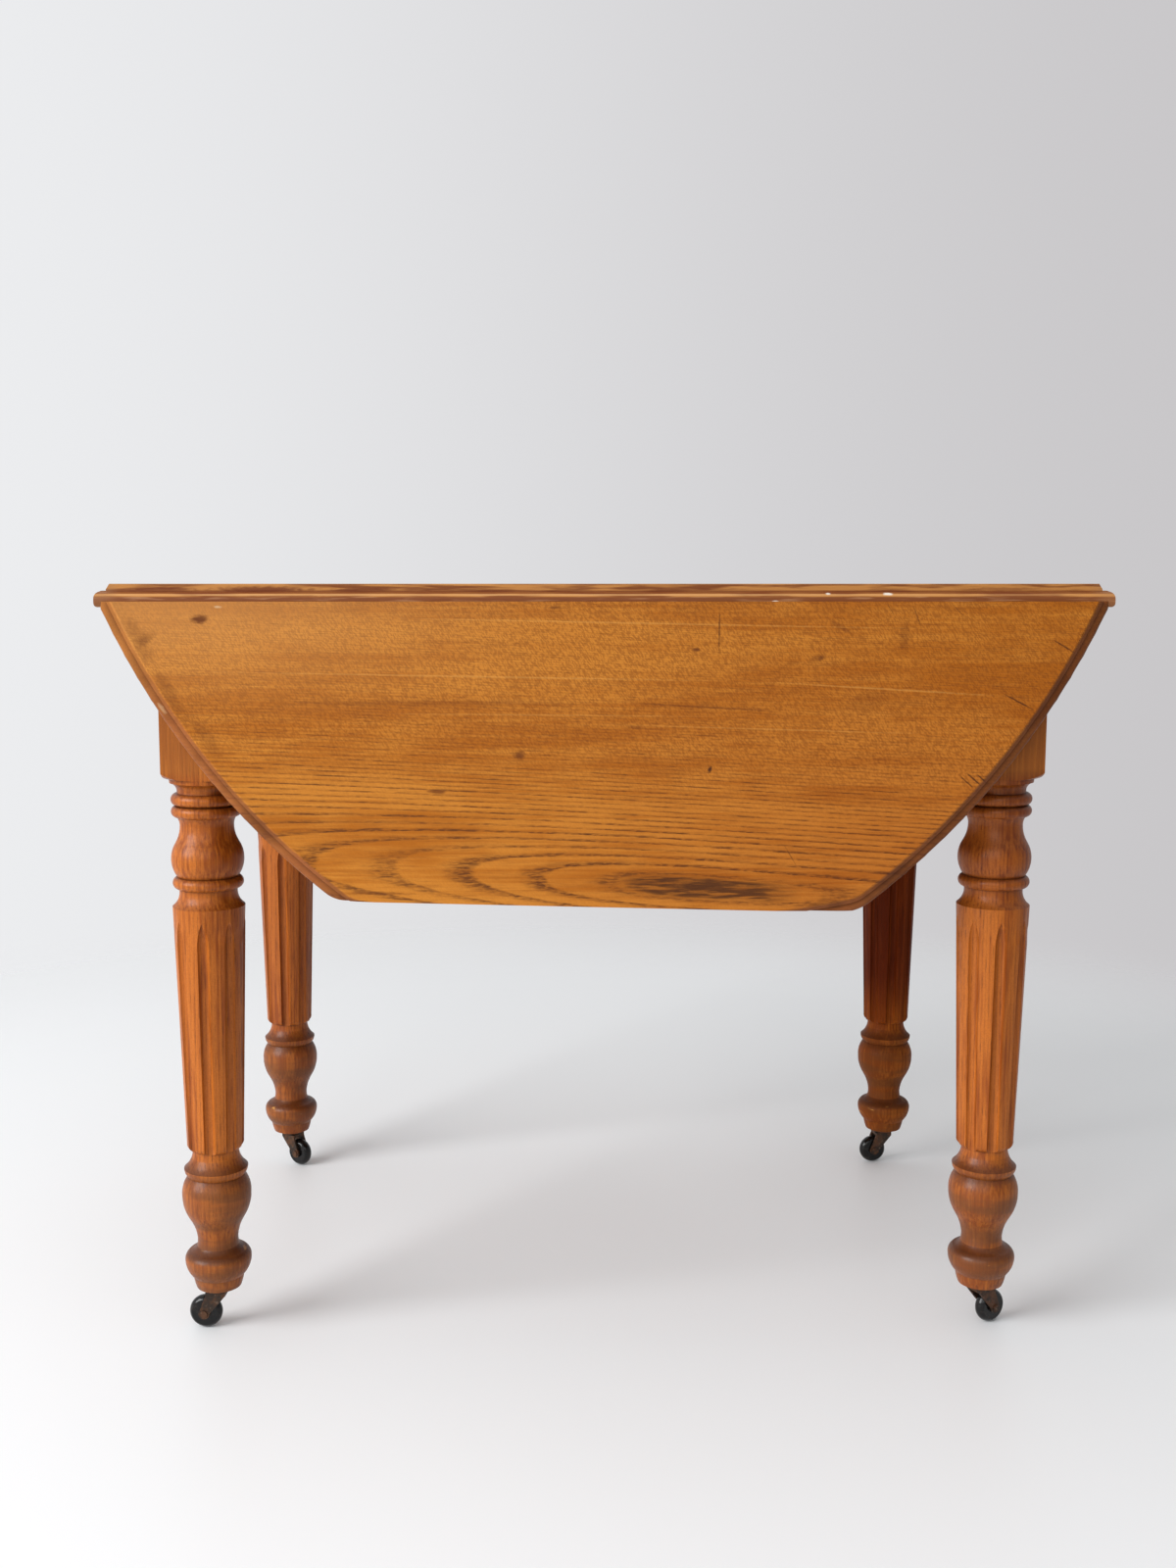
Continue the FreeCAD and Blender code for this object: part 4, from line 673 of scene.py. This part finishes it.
# sizes in the order of screwMeasures
smallScrew = (0.0034, 0.0018, 0.0016, 0.01, 0.001, 0.0016)
bracketScrew = (0.0036, 0.002, 0.0018, 0.015, 0.001, 0.0018)
topScrew = (0.005, 0.0028, 0.0024, 0.058, 0.0013, 0.0026)
hingeLeafPlaces = ((-0.311, -0.2905, 0.6955), (-0.289, -0.2905, 0.6955), (-0.3, -0.2905, 0.6595))
# each group: body, size, direction, whether it is found in front, behind or both, and the front left places
screwGroups = {
    "hinge_top_screws": ("frame", smallScrew, (0, 0, 1), (-1, 1), (
        (-0.311, -0.277, 0.717), (-0.289, -0.277, 0.717), (-0.3, -0.251, 0.717))),
    "hinge_leaf_screws_front": ("front_leaf", smallScrew, (0, -1, 0), (-1,), hingeLeafPlaces),
    "hinge_leaf_screws_rear": ("rear_leaf", smallScrew, (0, -1, 0), (1,), hingeLeafPlaces),
    "prop_bracket_screws": ("frame", bracketScrew, (0, 1, 0), (-1, 1), (
        (-0.2246, -0.264, 0.6335), (-0.1754, -0.264, 0.6335), (-0.2246, -0.264, 0.6595), (-0.1754, -0.264, 0.6595))),
    "top_screws": ("frame", topScrew, (0, 0, 1), (-1, 1), (
        (-0.323, -0.222, 0.671), (-0.372, -0.173, 0.671))),
}


def setScrews(name, body, size, aim, sides, places):
    spots = [(side, hand, place) for side in sides for hand in (-1, 1) for place in places]
    points = [(-hand * x, -side * y, z) for side, hand, (x, y, z) in spots]
    aims = [value for spot in spots for value in (aim[0], -spot[0] * aim[1], aim[2])]
    mesh = bpy.data.meshes.new(name + "_places")
    mesh.from_pydata(points, [], [])
    mesh.attributes.new("aim", "FLOAT_VECTOR", "POINT").data.foreach_set("vector", aims)
    holder = bpy.data.objects.new(name + "_places", mesh)
    bpy.context.scene.collection.objects.link(holder)
    modifier = holder.modifiers.new("screws", "NODES")
    modifier.node_group = screwTree
    given = {**dict(zip(screwMeasures, size)), "Metal": screwSteel}
    for item in screwTree.interface.items_tree:
        if item.in_out == "INPUT" and item.name in given:
            modifier[item.identifier] = given[item.name]
    evaluated = holder.evaluated_get(bpy.context.evaluated_depsgraph_get())
    shape = bpy.data.meshes.new_from_object(evaluated)
    bpy.data.objects.remove(holder)
    piece = bpy.data.objects.new(name + "_slotted", shape)
    bpy.context.scene.collection.objects.link(piece)
    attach(piece, body)
    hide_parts(name)


for name, (body, size, aim, sides, places) in screwGroups.items():
    setScrews(name, body, size, aim, sides, places)
print("screws set")


stageLook = {
    "floor": paint(243, 245, 247), "floorDark": paint(205, 204, 202), "floorRough": 0.5, "radius": 2.2, "sides": 96,
    "floorTone": {"stretch": (2, 2, 2), "detail": 3.0}, "toneShare": 0.04, "fade": (1.15, 1.9),
    "height": -0.0002,  # just under the wheels
    # the backdrop carries painted light: lighter on the left by the window, darker to the right
    "wallLitLeft": paint(238, 239, 241), "wallShadedRight": paint(200, 198, 200), "wallSpan": (-0.45, 0.45),
    "skyAim": (-0.6, -0.1, 0.8), "skySpan": (-0.4, 0.9), "sky": (0.06, 0.8),
}


def makeFloor(look):
    turns = [2 * math.pi * i / look["sides"] for i in range(look["sides"])]
    ring = [(look["radius"] * math.cos(turn), look["radius"] * math.sin(turn), look["height"]) for turn in turns]
    mesh = bpy.data.meshes.new("floor")
    mesh.from_pydata(ring, [], [tuple(range(look["sides"]))])
    floor = bpy.data.objects.new("floor", mesh)
    bpy.context.scene.collection.objects.link(floor)
    made, tree, place, shader = newFinish("floorPale")
    tone = times(tree, speckle(tree, place, **look["floorTone"]), look["toneShare"])
    feed(tree, shader, {
        "Base Color": tint(tree, tone, look["floor"], look["floorDark"]), "Roughness": look["floorRough"],
    })
    far = put(tree, "ShaderNodeVectorMath", {0: place}, operation="LENGTH").outputs["Value"]
    clear = put(tree, "ShaderNodeBsdfTransparent").outputs[0]
    fade = ease(tree, far, *look["fade"])
    mixed = put(tree, "ShaderNodeMixShader", {0: fade, 1: shader.outputs[0], 2: clear}).outputs[0]
    output = next(item for item in tree.nodes if item.type == "OUTPUT_MATERIAL")
    feed(tree, output, {"Surface": mixed})
    mesh.materials.append(made)


def makeWorld(look):
    world = bpy.data.worlds.new("studio")
    bpy.context.scene.world = world
    world.use_nodes = True
    tree = world.node_tree
    tree.nodes.clear()
    path = put(tree, "ShaderNodeLightPath").outputs
    aim = put(tree, "ShaderNodeTexCoord").outputs["Generated"]
    # painted light on the backdrop, falling off from left to right
    wall = tint(tree, ease(tree, axes(tree, aim)[0], *look["wallSpan"]), look["wallLitLeft"], look["wallShadedRight"])
    seen = put(tree, "ShaderNodeBackground", {"Color": wall, "Strength": 1.0}).outputs[0]
    lean = put(tree, "ShaderNodeVectorMath", {0: aim, 1: look["skyAim"]}, operation="DOT_PRODUCT").outputs["Value"]
    sky = ease(tree, lean, *look["skySpan"], *look["sky"])
    lit = put(tree, "ShaderNodeBackground", {"Color": (1, 1, 1, 1), "Strength": sky}).outputs[0]
    bounced = calc(tree, "MAXIMUM", path["Is Glossy Ray"], path["Is Transmission Ray"])
    direct = calc(tree, "MAXIMUM", path["Is Camera Ray"], bounced)
    both = put(tree, "ShaderNodeMixShader", {0: direct, 1: lit, 2: seen}).outputs[0]
    put(tree, "ShaderNodeOutputWorld", {"Surface": both})


lamps = {
    "window": {"at": (-4.2, -2.6, 2.6), "aim": (0, 0, 0.35), "size": (3.1, 2.8), "power": 255},
    "front": {"at": (-0.4, -2.7, 1.4), "aim": (0, 0, 0.45), "size": (1.8, 1.4), "power": 12},
}


def makeLamp(name, look):
    data = bpy.data.lights.new(name, "AREA")
    data.shape = "RECTANGLE"
    data.size, data.size_y = look["size"]
    data.energy = look["power"]
    lamp = bpy.data.objects.new(name, data)
    lamp.location = look["at"]
    lamp.rotation_euler = (Vector(look["aim"]) - Vector(look["at"])).to_track_quat("-Z", "Y").to_euler()
    bpy.context.scene.collection.objects.link(lamp)


# Degrees below level and to the right, lens and sensor in millimetres
cameraLook = {
    "at": (-0.0561, -1.7479, 0.7341), "down": 7.053, "right": 0.5, "lens": 36.56, "sensor": 36, "shift": 0.0194,
}


def makeCamera(look):
    data = bpy.data.cameras.new("camera")
    data.sensor_width = look["sensor"]
    data.lens = look["lens"]
    data.shift_x = look["shift"]
    camera = bpy.data.objects.new("camera", data)
    camera.location = look["at"]
    camera.rotation_euler = (math.radians(90 - look["down"]), 0, math.radians(-look["right"]))
    bpy.context.scene.collection.objects.link(camera)
    bpy.context.scene.camera = camera


makeFloor(stageLook)
makeWorld(stageLook)
for name, look in lamps.items():
    makeLamp(name, look)
makeCamera(cameraLook)
bpy.context.scene.view_settings.view_transform = "Standard"
print("stage, light and camera set")
